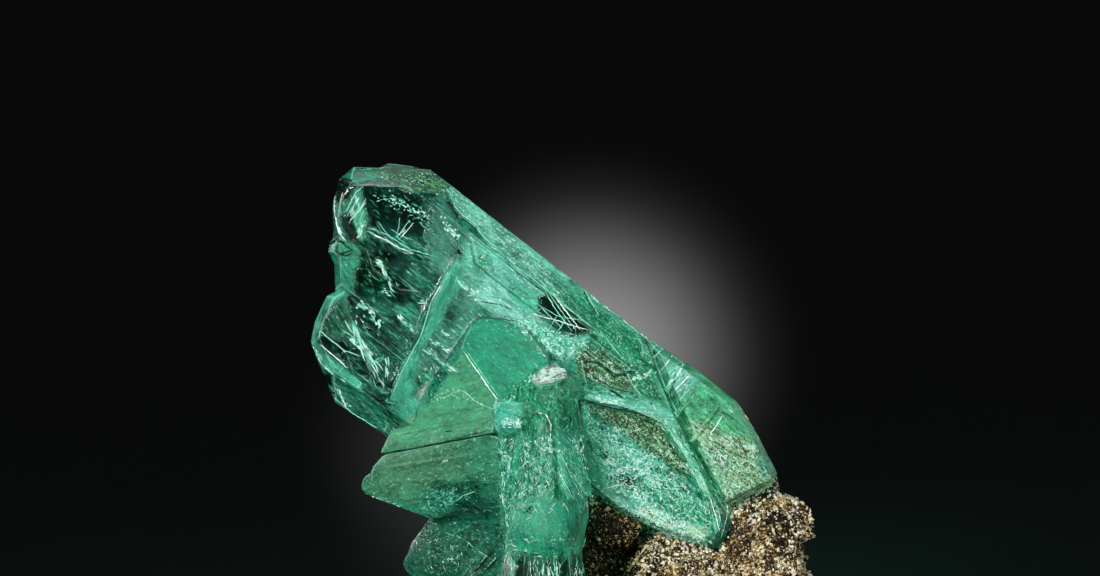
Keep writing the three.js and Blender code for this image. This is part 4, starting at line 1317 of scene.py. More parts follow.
TUFTS: tuple[Tuft, ...] = (
    Tuft(WHITE, ((424, 546), (440, 552), (458, 561)), 14, 120, (0.2, 1), (0.05, 0.12), 60),
    Tuft(DARK, ((424, 552), (440, 558), (456, 566)), 14, 90, (0.3, 1.2), (0.06, 0.16), 60),
    Tuft(MINT, ((430, 524), (450, 530), (476, 524)), 14, 80, (0.2, 0.9), (0.04, 0.09), 60),
    Tuft(WHITE, ((505, 422), (514, 421), (523, 422)), 5, 70, (0.2, 0.9), (0.07, 0.2), 50),
    Tuft(WHITE, ((502, 404), (510, 400), (520, 403)), 3, 26, (0.3, 1), (0.05, 0.13), 20),
    Tuft(WHITE, ((594, 492), (622, 509), (646, 522)), 8, 150, (0.2, 0.8), (0.08, 0.24), 50),
    Tuft(WHITE, ((640, 519), (668, 531), (700, 540)), 8, 190, (0.2, 0.8), (0.08, 0.26), 50),
    Tuft(WHITE, ((600, 500), (632, 517)), 5, 90, (0.2, 0.6), (0.1, 0.26), 60),
    # left end
    Tuft(WHITE, ((350, 214), (358, 200)), 1.6, 12, (0.8, 2.4), (0.06, 0.12), 5),
    Tuft(WHITE, ((353, 221), (363, 204)), 2, 16, (0.8, 2.6), (0.06, 0.13), 5),
    Tuft(MINT, ((356, 228), (366, 210)), 2.2, 16, (0.8, 2.6), (0.06, 0.12), 5),
    Tuft(WHITE, ((358, 236), (365, 224)), 1.8, 12, (0.8, 2), (0.07, 0.14), 6),
    Tuft(WHITE, ((376, 196), (392, 201), (408, 207), (426, 219)), 4, 44, (0.2, 0.8), (0.08, 0.2), 14),
    Tuft(MINT, ((384, 196), (410, 208), (432, 224)), 8, 50, (0.3, 1.4), (0.05, 0.1), 20),
    Tuft(WHITE, ((370, 231), (386, 240), (400, 248), (414, 254)), 3.4, 26, (0.5, 1.8), (0.04, 0.09), 10),
    Tuft(MINT, ((372, 226), (400, 240), (430, 256), (450, 267)), 6, 40, (0.5, 2.2), (0.04, 0.08), 10),
    Tuft(WHITE, ((397, 238), (411, 222)), 3.2, 10, (0.5, 1.6), (0.04, 0.08), 12),
    Tuft(WHITE, ((375, 259), (382, 266), (388, 278), (395, 294)), 2.8, 24, (0.6, 2), (0.06, 0.22), 9),
    Tuft(WHITE, ((380, 291), (390, 293)), 2.5, 10, (0.3, 0.9), (0.08, 0.18), 14),
    Tuft(WHITE, ((359, 303), (370, 311), (380, 322)), 4.4, 30, (0.4, 1.5), (0.08, 0.26), 14),
    Tuft(WHITE, ((380, 321), (378, 328)), 2.4, 12, (0.3, 0.8), (0.12, 0.26), 14),
    Tuft(WHITE, ((353, 322), (359, 337), (366, 353), (377, 367)), 4, 26, (1, 3), (0.08, 0.26), 6),
    Tuft(WHITE, ((361, 339), (371, 358), (383, 384)), 3, 18, (0.8, 2.6), (0.06, 0.16), 6),
    Tuft(WHITE, ((366, 354), (372, 368), (377, 384)), 2.6, 12, (0.8, 2.4), (0.05, 0.13), 6),
    Tuft(WHITE, ((387, 358), (387, 375)), 2, 12, (0.6, 1.6), (0.1, 0.24), 10),
    Tuft(WHITE, ((352, 339), (356, 343)), 2, 12, (0.3, 0.8), (0.14, 0.3), 14),
    Tuft(MINT, ((368, 365), (376, 361), (385, 357)), 2.4, 18, (0.5, 1.4), (0.06, 0.12), 20),
    Tuft(WHITE, ((398, 315), (405, 322), (413, 330)), 3, 22, (0.4, 1.2), (0.07, 0.17), 14),
    Tuft(WHITE, ((420, 301), (429, 303)), 3, 10, (0.2, 0.7), (0.08, 0.18), 20),
    Tuft(WHITE, ((430, 340), (440, 344), (450, 350)), 3, 22, (0.3, 1.1), (0.12, 0.26), 12),
    Tuft(WHITE, ((442, 332), (450, 337)), 2.6, 12, (0.3, 1), (0.12, 0.26), 12),
    Tuft(WHITE, ((424, 350), (442, 362), (458, 372)), 3, 34, (0.5, 1.6), (0.06, 0.14), 10),
    Tuft(WHITE, ((456, 276), (461, 283), (466, 290)), 2, 26, (0.4, 1.2), (0.1, 0.22), 14),
    Tuft(WHITE, ((449, 228), (454, 233), (459, 241)), 3, 30, (0.2, 0.9), (0.12, 0.3), 16),
    Tuft(WHITE, ((442, 216), (448, 224), (454, 238)), 3, 18, (0.2, 0.6), (0.08, 0.18), 20),
    Tuft(WHITE, ((316, 350), (322, 362), (332, 372), (346, 384)), 2, 26, (0.4, 1.2), (0.06, 0.14), 14),
    Tuft(WHITE, ((338, 388), (342, 398), (348, 408)), 2, 22, (0.3, 1), (0.08, 0.2), 20),
    # middle
    Tuft(WHITE, ((470, 290), (476, 295), (481, 302)), 4, 30, (0.2, 0.9), (0.08, 0.2), 30),
    Tuft(WHITE, ((516, 320), (528, 330), (542, 342), (552, 350)), 4, 90, (0.2, 0.9), (0.08, 0.22), 40),
    Tuft(WHITE, ((548, 334), (566, 338), (582, 346)), 5, 60, (0.2, 0.7), (0.07, 0.17), 60),
    Tuft(WHITE, ((565, 358), (576, 348), (588, 338)), 3, 30, (0.3, 1.2), (0.06, 0.13), 12),
    # long edges: painted highlights along the crests, as white, mint and ivory slivers
    Tuft(WHITE, ((440, 172), (520, 236), (600, 301), (646, 338)), 1.2, 130, (0.3, 1.6), (0.05, 0.12), 4),
    Tuft(MINT, ((648, 340), (700, 371), (740, 403)), 1.4, 60, (0.4, 1.6), (0.06, 0.14), 5),
    Tuft(IVORY, ((740, 403), (762, 440), (780, 474)), 1.6, 120, (0.3, 1.4), (0.08, 0.18), 6),
    # right of the middle
    Tuft(WHITE, ((632, 380), (638, 376), (642, 379)), 2, 24, (0.2, 0.8), (0.1, 0.24), 40),
    Tuft(WHITE, ((645, 375), (651, 371), (656, 373)), 2, 24, (0.2, 0.8), (0.1, 0.24), 40),
    Tuft(WHITE, ((588, 396), (604, 399), (624, 404)), 3.4, 90, (0.3, 1.2), (0.08, 0.22), 12),
    Tuft(WHITE, ((624, 405), (648, 412), (662, 424)), 3, 34, (0.3, 1.2), (0.06, 0.14), 14),
    Tuft(WHITE, ((583, 404), (588, 412), (586, 420)), 3, 30, (0.2, 0.6), (0.1, 0.22), 60),
    Tuft(WHITE, ((620, 446), (634, 458), (652, 464)), 5, 80, (0.2, 0.9), (0.08, 0.2), 45),
    Tuft(WHITE, ((626, 466), (644, 474), (662, 486)), 5, 70, (0.2, 0.9), (0.08, 0.2), 45),
    Tuft(WHITE, ((634, 492), (648, 504), (664, 516), (690, 530)), 5, 150, (0.2, 0.8), (0.1, 0.26), 60),
    Tuft(IVORY, ((652, 520), (672, 530), (704, 534)), 4, 90, (0.2, 0.7), (0.1, 0.24), 60),
    Tuft(WHITE, ((640, 522), (660, 532), (682, 540), (706, 545)), 4, 260, (0.2, 0.7), (0.14, 0.32), 60),
    Tuft(IVORY, ((604, 498), (622, 511), (642, 523), (662, 533)), 4, 200, (0.2, 0.6), (0.12, 0.28), 60),
    Tuft(LEAF, ((580, 474), (600, 494), (622, 510), (640, 520)), 3, 160, (0.2, 0.6), (0.12, 0.28), 60),
    Tuft(IVORY, ((728, 506), (746, 500), (764, 490), (778, 476)), 3.6, 200, (0.2, 0.6), (0.12, 0.28), 60),
    Tuft(WHITE, ((610, 440), (624, 456), (640, 466), (656, 480)), 9, 90, (0.3, 1.4), (0.1, 0.24), 50),
    Tuft(WHITE, ((586, 420), (600, 440), (612, 460), (622, 480)), 8, 90, (0.3, 1.4), (0.08, 0.2), 20),
    Tuft(WHITE, ((678, 440), (692, 462), (706, 487)), 1, 40, (0.5, 1.8), (0.07, 0.14), 5),
    Tuft(WHITE, ((687, 464), (696, 478), (704, 490)), 2, 24, (0.5, 1.6), (0.05, 0.11), 8),
    # column
    Tuft(WHITE, ((504, 422), (512, 420), (522, 424)), 2.6, 46, (0.2, 0.9), (0.12, 0.3), 40),
    Tuft(WHITE, ((550, 438), (551, 450)), 2, 20, (0.3, 0.9), (0.08, 0.2), 20),
    Tuft(WHITE, ((553, 447), (560, 450)), 2, 18, (0.2, 0.6), (0.12, 0.24), 60),
    Tuft(WHITE, ((560, 470), (564, 478)), 1.6, 14, (0.3, 0.8), (0.1, 0.2), 20),
    Tuft(WHITE, ((574, 438), (580, 452)), 4, 30, (0.2, 0.6), (0.08, 0.18), 60),
    Tuft(WHITE, ((504, 452), (511, 458)), 2, 14, (0.3, 1), (0.08, 0.18), 20),
    Tuft(WHITE, ((506, 512), (516, 496), (530, 486)), 4, 50, (0.4, 1.4), (0.05, 0.12), 25),
    Tuft(WHITE, ((512, 500), (524, 504), (536, 500)), 4, 40, (0.15, 0.5), (0.07, 0.15), 80),
    Tuft(DARK, ((514, 504), (526, 510), (532, 504)), 4, 40, (0.15, 0.5), (0.07, 0.15), 80),
    Tuft(WHITE, ((504, 478), (504, 500), (508, 524)), 1.4, 34, (0.4, 1.4), (0.07, 0.16), 8),
    Tuft(WHITE, ((512, 384), (528, 378), (534, 374)), 3, 20, (0.2, 0.7), (0.07, 0.16), 60),
    # blades
    Tuft(WHITE, ((443, 461), (448, 460)), 1.2, 12, (0.2, 0.6), (0.12, 0.24), 50),
    Tuft(WHITE, ((430, 400), (450, 396), (470, 398), (490, 408)), 3.4, 60, (0.15, 0.5), (0.06, 0.13), 60),
    Tuft(IVORY, ((430, 396), (450, 390), (462, 390)), 2, 30, (0.2, 0.6), (0.06, 0.13), 30),
    Tuft(MINT, ((424, 510), (440, 500), (456, 492)), 5, 50, (0.2, 0.9), (0.05, 0.11), 40),
    Tuft(WHITE, ((360, 492), (384, 500), (400, 506)), 1.4, 20, (0.3, 0.9), (0.06, 0.12), 12),
)

STREWS: tuple[Strew, ...] = (
    Strew(WHITE, 52, ((500, 440), (560, 440), (590, 500), (500, 520)), 90, (0.6, 2), (0.05, 0.1), 14),
    Strew(WHITE, -50, ((500, 440), (560, 440), (570, 510), (500, 530)), 90, (0.6, 2), (0.05, 0.1), 14),
    Strew(WHITE, 60, ((556, 436), (586, 430), (598, 490), (584, 512)), 60, (0.3, 1.2), (0.06, 0.14), 20),
    Strew(WHITE, 62, ((416, 374), (436, 362), (444, 384), (424, 402)), 40, (0.2, 0.8), (0.05, 0.12), 30),
    Strew(DARK, 62, ((416, 374), (436, 362), (444, 384), (424, 402)), 40, (0.2, 0.9), (0.06, 0.14), 30),
    Strew(MINT, 38, ((340, 180), (440, 175), (470, 262), (395, 400), (330, 370), (312, 340), (340, 270)),
        540, (0.3, 1.8), (0.035, 0.075), 10, 1.2),
    Strew(WHITE, 38, ((350, 250), (420, 250), (450, 280), (392, 392), (330, 360), (340, 300)), 260,
        (0.2, 1.1), (0.035, 0.08), 16, 0.6),
    Strew(WHITE, 60, ((388, 188), (420, 190), (440, 240), (410, 230), (390, 206)), 46, (0.1, 0.4),
        (0.05, 0.11), 70),
    Strew(WHITE, 30, ((378, 176), (436, 172), (462, 200), (404, 188)), 150, (0.1, 0.35), (0.06, 0.13), 60),
    Strew(WHITE, 38, ((440, 178), (560, 276), (540, 284), (480, 232), (452, 204)), 340, (0.1, 0.4),
        (0.05, 0.12), 60),
    Strew(MINT, 38, ((560, 276), (640, 336), (590, 326), (540, 284)), 200, (0.1, 0.5), (0.05, 0.11), 40),
    Strew(DARK, 38, ((470, 204), (560, 278), (640, 338), (590, 326), (500, 250)), 90, (0.1, 0.5),
        (0.05, 0.11), 40),
    Strew(WHITE, 38, ((462, 245), (545, 285), (540, 345), (470, 320)), 240, (0.15, 0.6), (0.05, 0.11), 30),
    Strew(WHITE, 45, ((512, 318), (550, 330), (590, 336), (578, 362), (540, 356)), 320, (0.1, 0.5),
        (0.06, 0.15), 70),
    Strew(WHITE, 50, ((592, 330), (648, 342), (664, 396), (600, 392), (580, 360)), 260, (0.1, 0.5),
        (0.05, 0.12), 60),
    Strew(WHITE, 46, ((582, 414), (612, 432), (660, 460), (700, 500), (716, 530), (660, 520), (606, 486)),
        760, (0.2, 1), (0.07, 0.18), 50),
    Strew(MINT, 46, ((582, 414), (612, 432), (660, 460), (700, 500), (716, 530), (660, 520), (606, 486)),
        500, (0.2, 1.1), (0.06, 0.15), 50),
    Strew(DARK, 46, ((582, 404), (650, 420), (690, 470), (700, 520), (660, 520), (606, 486)), 420,
        (0.15, 0.7), (0.07, 0.15), 50),
    Strew(IVORY, 46, ((590, 404), (650, 416), (688, 470), (660, 462), (610, 426)), 420, (0.1, 0.5),
        (0.06, 0.14), 60),
    Strew(UMBER, 46, ((590, 404), (650, 416), (688, 470), (660, 462), (610, 426)), 200, (0.1, 0.5),
        (0.06, 0.14), 60),
    Strew(WHITE, 60, ((650, 402), (680, 430), (724, 500), (718, 540), (690, 480), (664, 434)), 160,
        (0.2, 1.4), (0.05, 0.12), 12),
    Strew(DARK, 60, ((650, 402), (680, 430), (724, 500), (718, 540), (690, 480), (664, 434)), 90, (0.2, 1),
        (0.05, 0.11), 14),
    Strew(IVORY, 46, ((684, 424), (750, 448), (766, 480), (730, 500), (706, 460)), 560, (0.2, 1),
        (0.07, 0.18), 60),
    Strew(WHITE, 60, ((690, 434), (716, 436), (736, 470), (748, 494), (726, 500), (706, 464)), 150,
        (0.3, 1.2), (0.07, 0.16), 40),
    Strew(UMBER, 46, ((700, 432), (760, 450), (766, 480), (730, 500), (716, 470)), 260, (0.2, 0.9),
        (0.06, 0.13), 60),
    Strew(WHITE, -40, ((650, 344), (694, 372), (680, 404), (660, 380)), 120, (0.3, 1.2), (0.05, 0.12), 12),
    Strew(MINT, 30, ((690, 372), (742, 404), (776, 470), (700, 424)), 200, (0.1, 0.5), (0.05, 0.11), 60),
    Strew(MINT, 96, ((504, 436), (550, 436), (556, 486), (520, 500), (500, 496)), 330, (0.3, 1.6),
        (0.05, 0.11), 30),
    Strew(LEAF, 96, ((504, 436), (550, 436), (556, 486), (520, 500), (500, 496)), 330, (0.3, 1.6),
        (0.06, 0.14), 30),
    Strew(WHITE, 70, ((502, 436), (550, 436), (552, 486), (502, 496)), 150, (0.3, 1.2), (0.07, 0.16), 40),
    Strew(DARK, 70, ((502, 446), (550, 440), (552, 486), (502, 496)), 90, (0.2, 1), (0.08, 0.18), 40),
    Strew(MINT, 70, ((512, 384), (578, 384), (584, 436), (556, 432), (516, 400)), 140, (0.2, 0.9),
        (0.06, 0.12), 40),
    Strew(MINT, 60, ((512, 500), (570, 498), (580, 530), (566, 550), (508, 548)), 170, (0.1, 0.6),
        (0.05, 0.11), 60),
    Strew(WHITE, 10, ((504, 536), (580, 536), (584, 554), (502, 554)), 120, (0.2, 1.2), (0.05, 0.12), 14),
    Strew(MINT, 62, ((552, 440), (576, 440), (594, 490), (582, 512), (562, 490)), 260, (0.4, 2),
        (0.05, 0.11), 10),
    Strew(DARK, 74, ((524, 386), (578, 386), (580, 440), (552, 432), (520, 404)), 36, (0.3, 1.4),
        (0.05, 0.11), 16),
    Strew(LEAF, 74, ((524, 386), (578, 386), (580, 440), (552, 432), (520, 404)), 160, (0.3, 1.4),
        (0.05, 0.12), 20),
    Strew(WHITE, 88, ((500, 556), (516, 556), (516, 600), (496, 600)), 50, (0.3, 1.6), (0.06, 0.16), 12),
    Strew(WHITE, 88, ((530, 556), (560, 556), (560, 600), (530, 600)), 110, (0.3, 1.6), (0.06, 0.16), 9),
    Strew(DARK, 88, ((530, 560), (560, 560), (560, 600), (530, 600)), 50, (0.4, 1.6), (0.08, 0.18), 6),
    Strew(WHITE, 88, ((574, 556), (588, 556), (590, 600), (574, 600)), 50, (0.3, 1.6), (0.06, 0.16), 12),
    Strew(MINT, -14, ((384, 452), (494, 430), (500, 500), (440, 512), (366, 494)), 120, (0.1, 0.6),
        (0.04, 0.08), 14),
    Strew(LEAF, -4, ((414, 540), (500, 520), (500, 576), (410, 576)), 120, (0.2, 0.9), (0.04, 0.09), 20),
)


def ribbons(paths: Array, halves: Array, tilts: Array) -> Surface:
    """Flat strips along paths: every station gives two points, a half width to either side.

    The side is square to the path in the picture plane, turned about the path by its tilt.

    Args:
        paths: (n, k, 3) stations in picture plane millimetres.
        halves: (n, k) half widths.
        tilts: n angles in radians.

    Returns:
        The strips as one surface in metres.
    """
    run = np.gradient(paths, axis=1)
    run /= np.maximum(np.linalg.norm(run, axis=2), 1e-9)[..., None]
    side = np.stack([-run[..., 2], np.zeros(halves.shape), run[..., 0]], -1)
    side /= np.maximum(np.linalg.norm(side, axis=2), 1e-9)[..., None]
    turned = np.cos(tilts)[:, None, None] * side + np.sin(tilts)[:, None, None] * np.cross(run, side)
    reach = halves[..., None] * turned
    points = np.stack([paths - reach, paths + reach], axis=2).reshape(-1, 3)
    count, stations = halves.shape
    first = (2 * stations * np.arange(count)[:, None] + 2 * np.arange(stations - 1)).ravel()
    triangles = [np.stack([first, first + 2, first + 3], 1), np.stack([first, first + 3, first + 1], 1)]
    return Surface(to_model(points), np.concatenate(triangles))


@dataclass
class FracturesAndPaintedLight:
    """The bright and dark lines, tufts and strewn slivers on the crystals and just inside them. Most are
    fractures; some are painted highlights along edges and painted shade over clear windows.

    They stand off the surface by the lift in millimetres. Tilts are how far slivers turn about
    their length, in radians, on the surface and inside.
    """

    front: Front
    seed: int = 12
    lift: float = 0.05
    stations: int = 4
    line_stations: int = 30
    bow: float = 0.05
    unsteady: float = 0.025
    faintest: float = 0.3
    tilts: Place = (0.15, 0.5)
    uneven: Place = (0.45, 1.15)
    fading: Colour = (2.0, 0.7, 1.0)

    def build(self) -> bpy.types.Object:
        """Makes all of them as one piece."""
        draw = np.random.default_rng(self.seed)
        parts = [self.slivers(draw, *self.of_tuft(draw, tuft)) for tuft in TUFTS]
        parts += [self.slivers(draw, *self.of_strew(draw, strew)) for strew in STREWS]
        parts.append(self.lines(draw))
        surface, tint = gathered(parts)
        # this piece holds fractures and also slivers of painted highlight and painted shade
        return put_in_scene("fractures", surface, SliverFinish().make(), colours={"tint": tint})

    def slivers(
        self, draw: np.random.Generator, kind: Union[Tuft, Strew], middle: Array, angle: Array
    ) -> tuple[Surface, Array]:
        """Slivers of one kind, slightly bowed and pointed at both ends.

        Args:
            draw: the source of chance.
            kind: the tuft or strew, for its tint, sizes and depth.
            middle: (n, 2) middles in millimetres.
            angle: n directions in radians.

        Returns:
            The surface and its points' tints.
        """
        count = len(middle)
        length = draw.uniform(*kind.length, count) * (0.6 + 0.4 * draw.random(count))
        share = np.linspace(0.0, 1.0, self.stations)
        run = np.stack([np.cos(angle), np.sin(angle)], 1)
        side = np.stack([-run[:, 1], run[:, 0]], 1)
        bow = draw.normal(0.0, self.bow, count) * length
        paths = middle[:, None] + ((share - 0.5) * length[:, None])[..., None] * run[:, None]
        paths += (4.0 * share * (1.0 - share) * bow[:, None])[..., None] * side[:, None]
        pointed = np.sqrt(4.0 * share * (1.0 - share) + 0.02)
        halves = 0.5 * draw.uniform(*kind.width, count)[:, None] * pointed
        deep = kind.under * draw.random(count) ** 1.5 * 6.0 + (kind.under - self.lift)
        laid, there = self.front.laid(paths, np.where(kind.under > 0.0, deep, -self.lift))
        whole = there.all(axis=1)
        tilts = draw.normal(0.0, self.tilts[kind.under > 0.0], count)
        surface = ribbons(laid[whole], halves[whole], tilts[whole])
        strength = (self.faintest + (1.0 - self.faintest) * draw.random(count))[whole]
        faded = strength[:, None] ** np.array(self.fading)
        tint = np.repeat(faded * np.array(kind.ink.value), 2 * self.stations, axis=0)
        return surface, tint

    @staticmethod
    def of_tuft(draw: np.random.Generator, tuft: Tuft) -> tuple[Tuft, Array, Array]:
        """Where a tuft's slivers are, and which way they run."""
        line = from_picture(tuft.line)
        t = draw.uniform(0.0, len(line) - 1.0001, tuft.count)
        start, side = line[t.astype(int)], np.diff(line, axis=0)[t.astype(int)]
        scatter = draw.normal(0.0, 0.5 * tuft.spread * UNIT_MM, (tuft.count, 2))
        middle = start + (t % 1.0)[:, None] * side + scatter
        stray = math.radians(tuft.stray) * draw.normal(size=tuft.count)
        return tuft, middle, np.arctan2(side[:, 1], side[:, 0]) + stray

    @staticmethod
    def of_strew(draw: np.random.Generator, strew: Strew) -> tuple[Strew, Array, Array]:
        """Where a strew's slivers are: chance places, of which those inside the outline count."""
        outline = from_picture(strew.outline)
        places = draw.uniform(outline.min(axis=0), outline.max(axis=0), (6 * strew.count, 2))
        middle = places[outside_by(places, outline) < 0.0][:strew.count]
        stray = math.radians(strew.stray) * draw.normal(size=len(middle))
        return strew, middle, stray - math.radians(strew.fall)

    def lines(self, draw: np.random.Generator) -> tuple[Surface, Array]:
        """The drawn lines: evenly stationed, a little unsteady, and thinner towards their ends."""
        share = np.linspace(0.0, 1.0, self.line_stations)
        paths = np.empty((len(STROKES), self.line_stations, 2))
        for row, stroke in enumerate(STROKES):
            line = from_picture(stroke.line)
            far = np.concatenate([[0.0], np.cumsum(np.linalg.norm(np.diff(line, axis=0), axis=1))])
            for axis in (0, 1):
                paths[row, :, axis] = np.interp(share * far[-1], far, line[:, axis])
        paths[:, 1:-1] = 0.25 * paths[:, :-2] + 0.5 * paths[:, 1:-1] + 0.25 * paths[:, 2:]
        paths += draw.normal(0.0, self.unsteady, paths.shape)
        width = np.array([stroke.width for stroke in STROKES]) * UNIT_MM
        profile = 0.3 + 0.7 * np.sqrt(4.0 * share * (1.0 - share))
        uneven = draw.uniform(*self.uneven, (len(STROKES), self.line_stations))
        halves = 0.5 * width[:, None] * profile * uneven
        laid, there = self.front.laid(paths, np.full(len(STROKES), -self.lift))
        tint = np.repeat([stroke.ink.value for stroke in STROKES], 2 * self.line_stations, axis=0)
        return ribbons(laid, halves * there, np.zeros(len(STROKES))), tint


@dataclass
class Sheet:
    """A thin wavy sheet inside a crystal, from a start to an end in picture plane millimetres.

    Breadth is its greatest width, turned about its length by turn degrees from facing the viewer.
    """

    start: Array
    end: Array
    breadth: float
    turn: float
    wave: float
    seed: int
    rows: int = 24
    columns: int = 7

    def surface(self) -> tuple[Surface, Array]:
        """A grid of length u by breadth v, pointed at both ends, with noise for its waves.

        The half breadth is breadth / 2 times the square root of 4u(1 - u), made ragged by noise.

        Returns:
            The surface, and for each point a number that falls to 0 at the sheet's edge.
        """
        run = (self.end - self.start) / np.linalg.norm(self.end - self.start)
        side = np.cross(run, np.array([0.0, 1.0, 0.0]))
        side /= np.linalg.norm(side)
        third = np.cross(run, side)
        angle = math.radians(self.turn)
        side, third = (
            math.cos(angle) * side + math.sin(angle) * third,
            math.cos(angle) * third - math.sin(angle) * side,
        )
        u, v = np.meshgrid(np.linspace(0, 1, self.rows), np.linspace(-1, 1, self.columns), indexing="ij")
        u, v = u.ravel(), v.ravel()
        flat = np.stack([u * 7.0, v * 1.5, np.full_like(u, 3.7 * self.seed)], 1)
        ragged = 1.0 + 0.5 * value_noise(flat, 0.8, self.seed)
        half = self.breadth / 2.0 * np.sqrt(np.clip(4.0 * u * (1.0 - u), 0.0, 1.0)) * ragged
        lift = self.wave * value_noise(flat, 1.7, self.seed + 3)
        length = u[:, None] * (self.end - self.start)
        points = self.start + length + (v * half)[:, None] * side + lift[:, None] * third
        number = np.arange(self.rows * self.columns).reshape(self.rows, self.columns)
        a, b = number[:-1, :-1].ravel(), number[1:, :-1].ravel()
        c, d = number[1:, 1:].ravel(), number[:-1, 1:].ravel()
        triangles = np.concatenate([np.stack([a, b, c], 1), np.stack([a, c, d], 1)])
        edge = (1.0 - v ** 4) * np.clip(8.0 * u * (1.0 - u), 0.0, 1.0)
        return Surface(to_model(points), triangles), edge


def gathered(parts: Iterable[tuple[Surface, Array]]) -> tuple[Surface, Array]:
    """Joins surfaces and their point values into one."""
    points, triangles, values, start = [], [], [], 0
    for surface, value in parts:
        points.append(surface.points)
        triangles.append(surface.triangles + start)
        values.append(value)
        start += len(surface.points)
    return Surface(np.concatenate(points), np.concatenate(triangles)), np.concatenate(values)


@dataclass
class Veils:
    """Faint healed fractures along the clear end of the main crystal, in millimetres and degrees."""

    seed: int = 12
    count: int = 22
    corner: Place = (-18.9, 71.5)
    depths: Place = (-7.5, 3.0)
    lengths: Place = (5.0, 11.0)
    breadths: Place = (1.0, 3.6)
    turns: Place = (-75.0, 75.0)
    wave: float = 0.6

    def build(self) -> bpy.types.Object:
        """Makes the sheets as one piece."""
        draw = np.random.default_rng(self.seed)
        surface, edge = gathered(self.sheet(draw, number).surface() for number in range(self.count))
        return put_in_scene("veils", surface, VeilFinish().make(), numbers={"edge": edge})

    def sheet(self, draw: np.random.Generator, number: int) -> Sheet:
        """One broad sheet at a chance place along and across the crystal from its upper corner.

        Every second sheet may lie further along. All lengths are in picture plane millimetres.
        """
        u, v = draw.uniform(2.0, 26.0 if number % 2 else 14.0), draw.uniform(5.0, 26.0)
        along = np.array([math.cos(AXIS_FALL), 0.0, -math.sin(AXIS_FALL)])
        across = np.array([-math.sin(AXIS_FALL), 0.0, -math.cos(AXIS_FALL)])
        start = np.array([self.corner[0], draw.uniform(*self.depths), self.corner[1]])
        start += along * u + across * v
        angle = -AXIS_FALL + draw.uniform(-0.16, 0.16)
        run = np.array([math.cos(angle), draw.uniform(-0.1, 0.1), math.sin(angle)])
        end = start + run * draw.uniform(*self.lengths)
        breadth, turn = draw.uniform(*self.breadths), draw.uniform(*self.turns)
        return Sheet(start, end, breadth, turn, self.wave, number)


# Rock

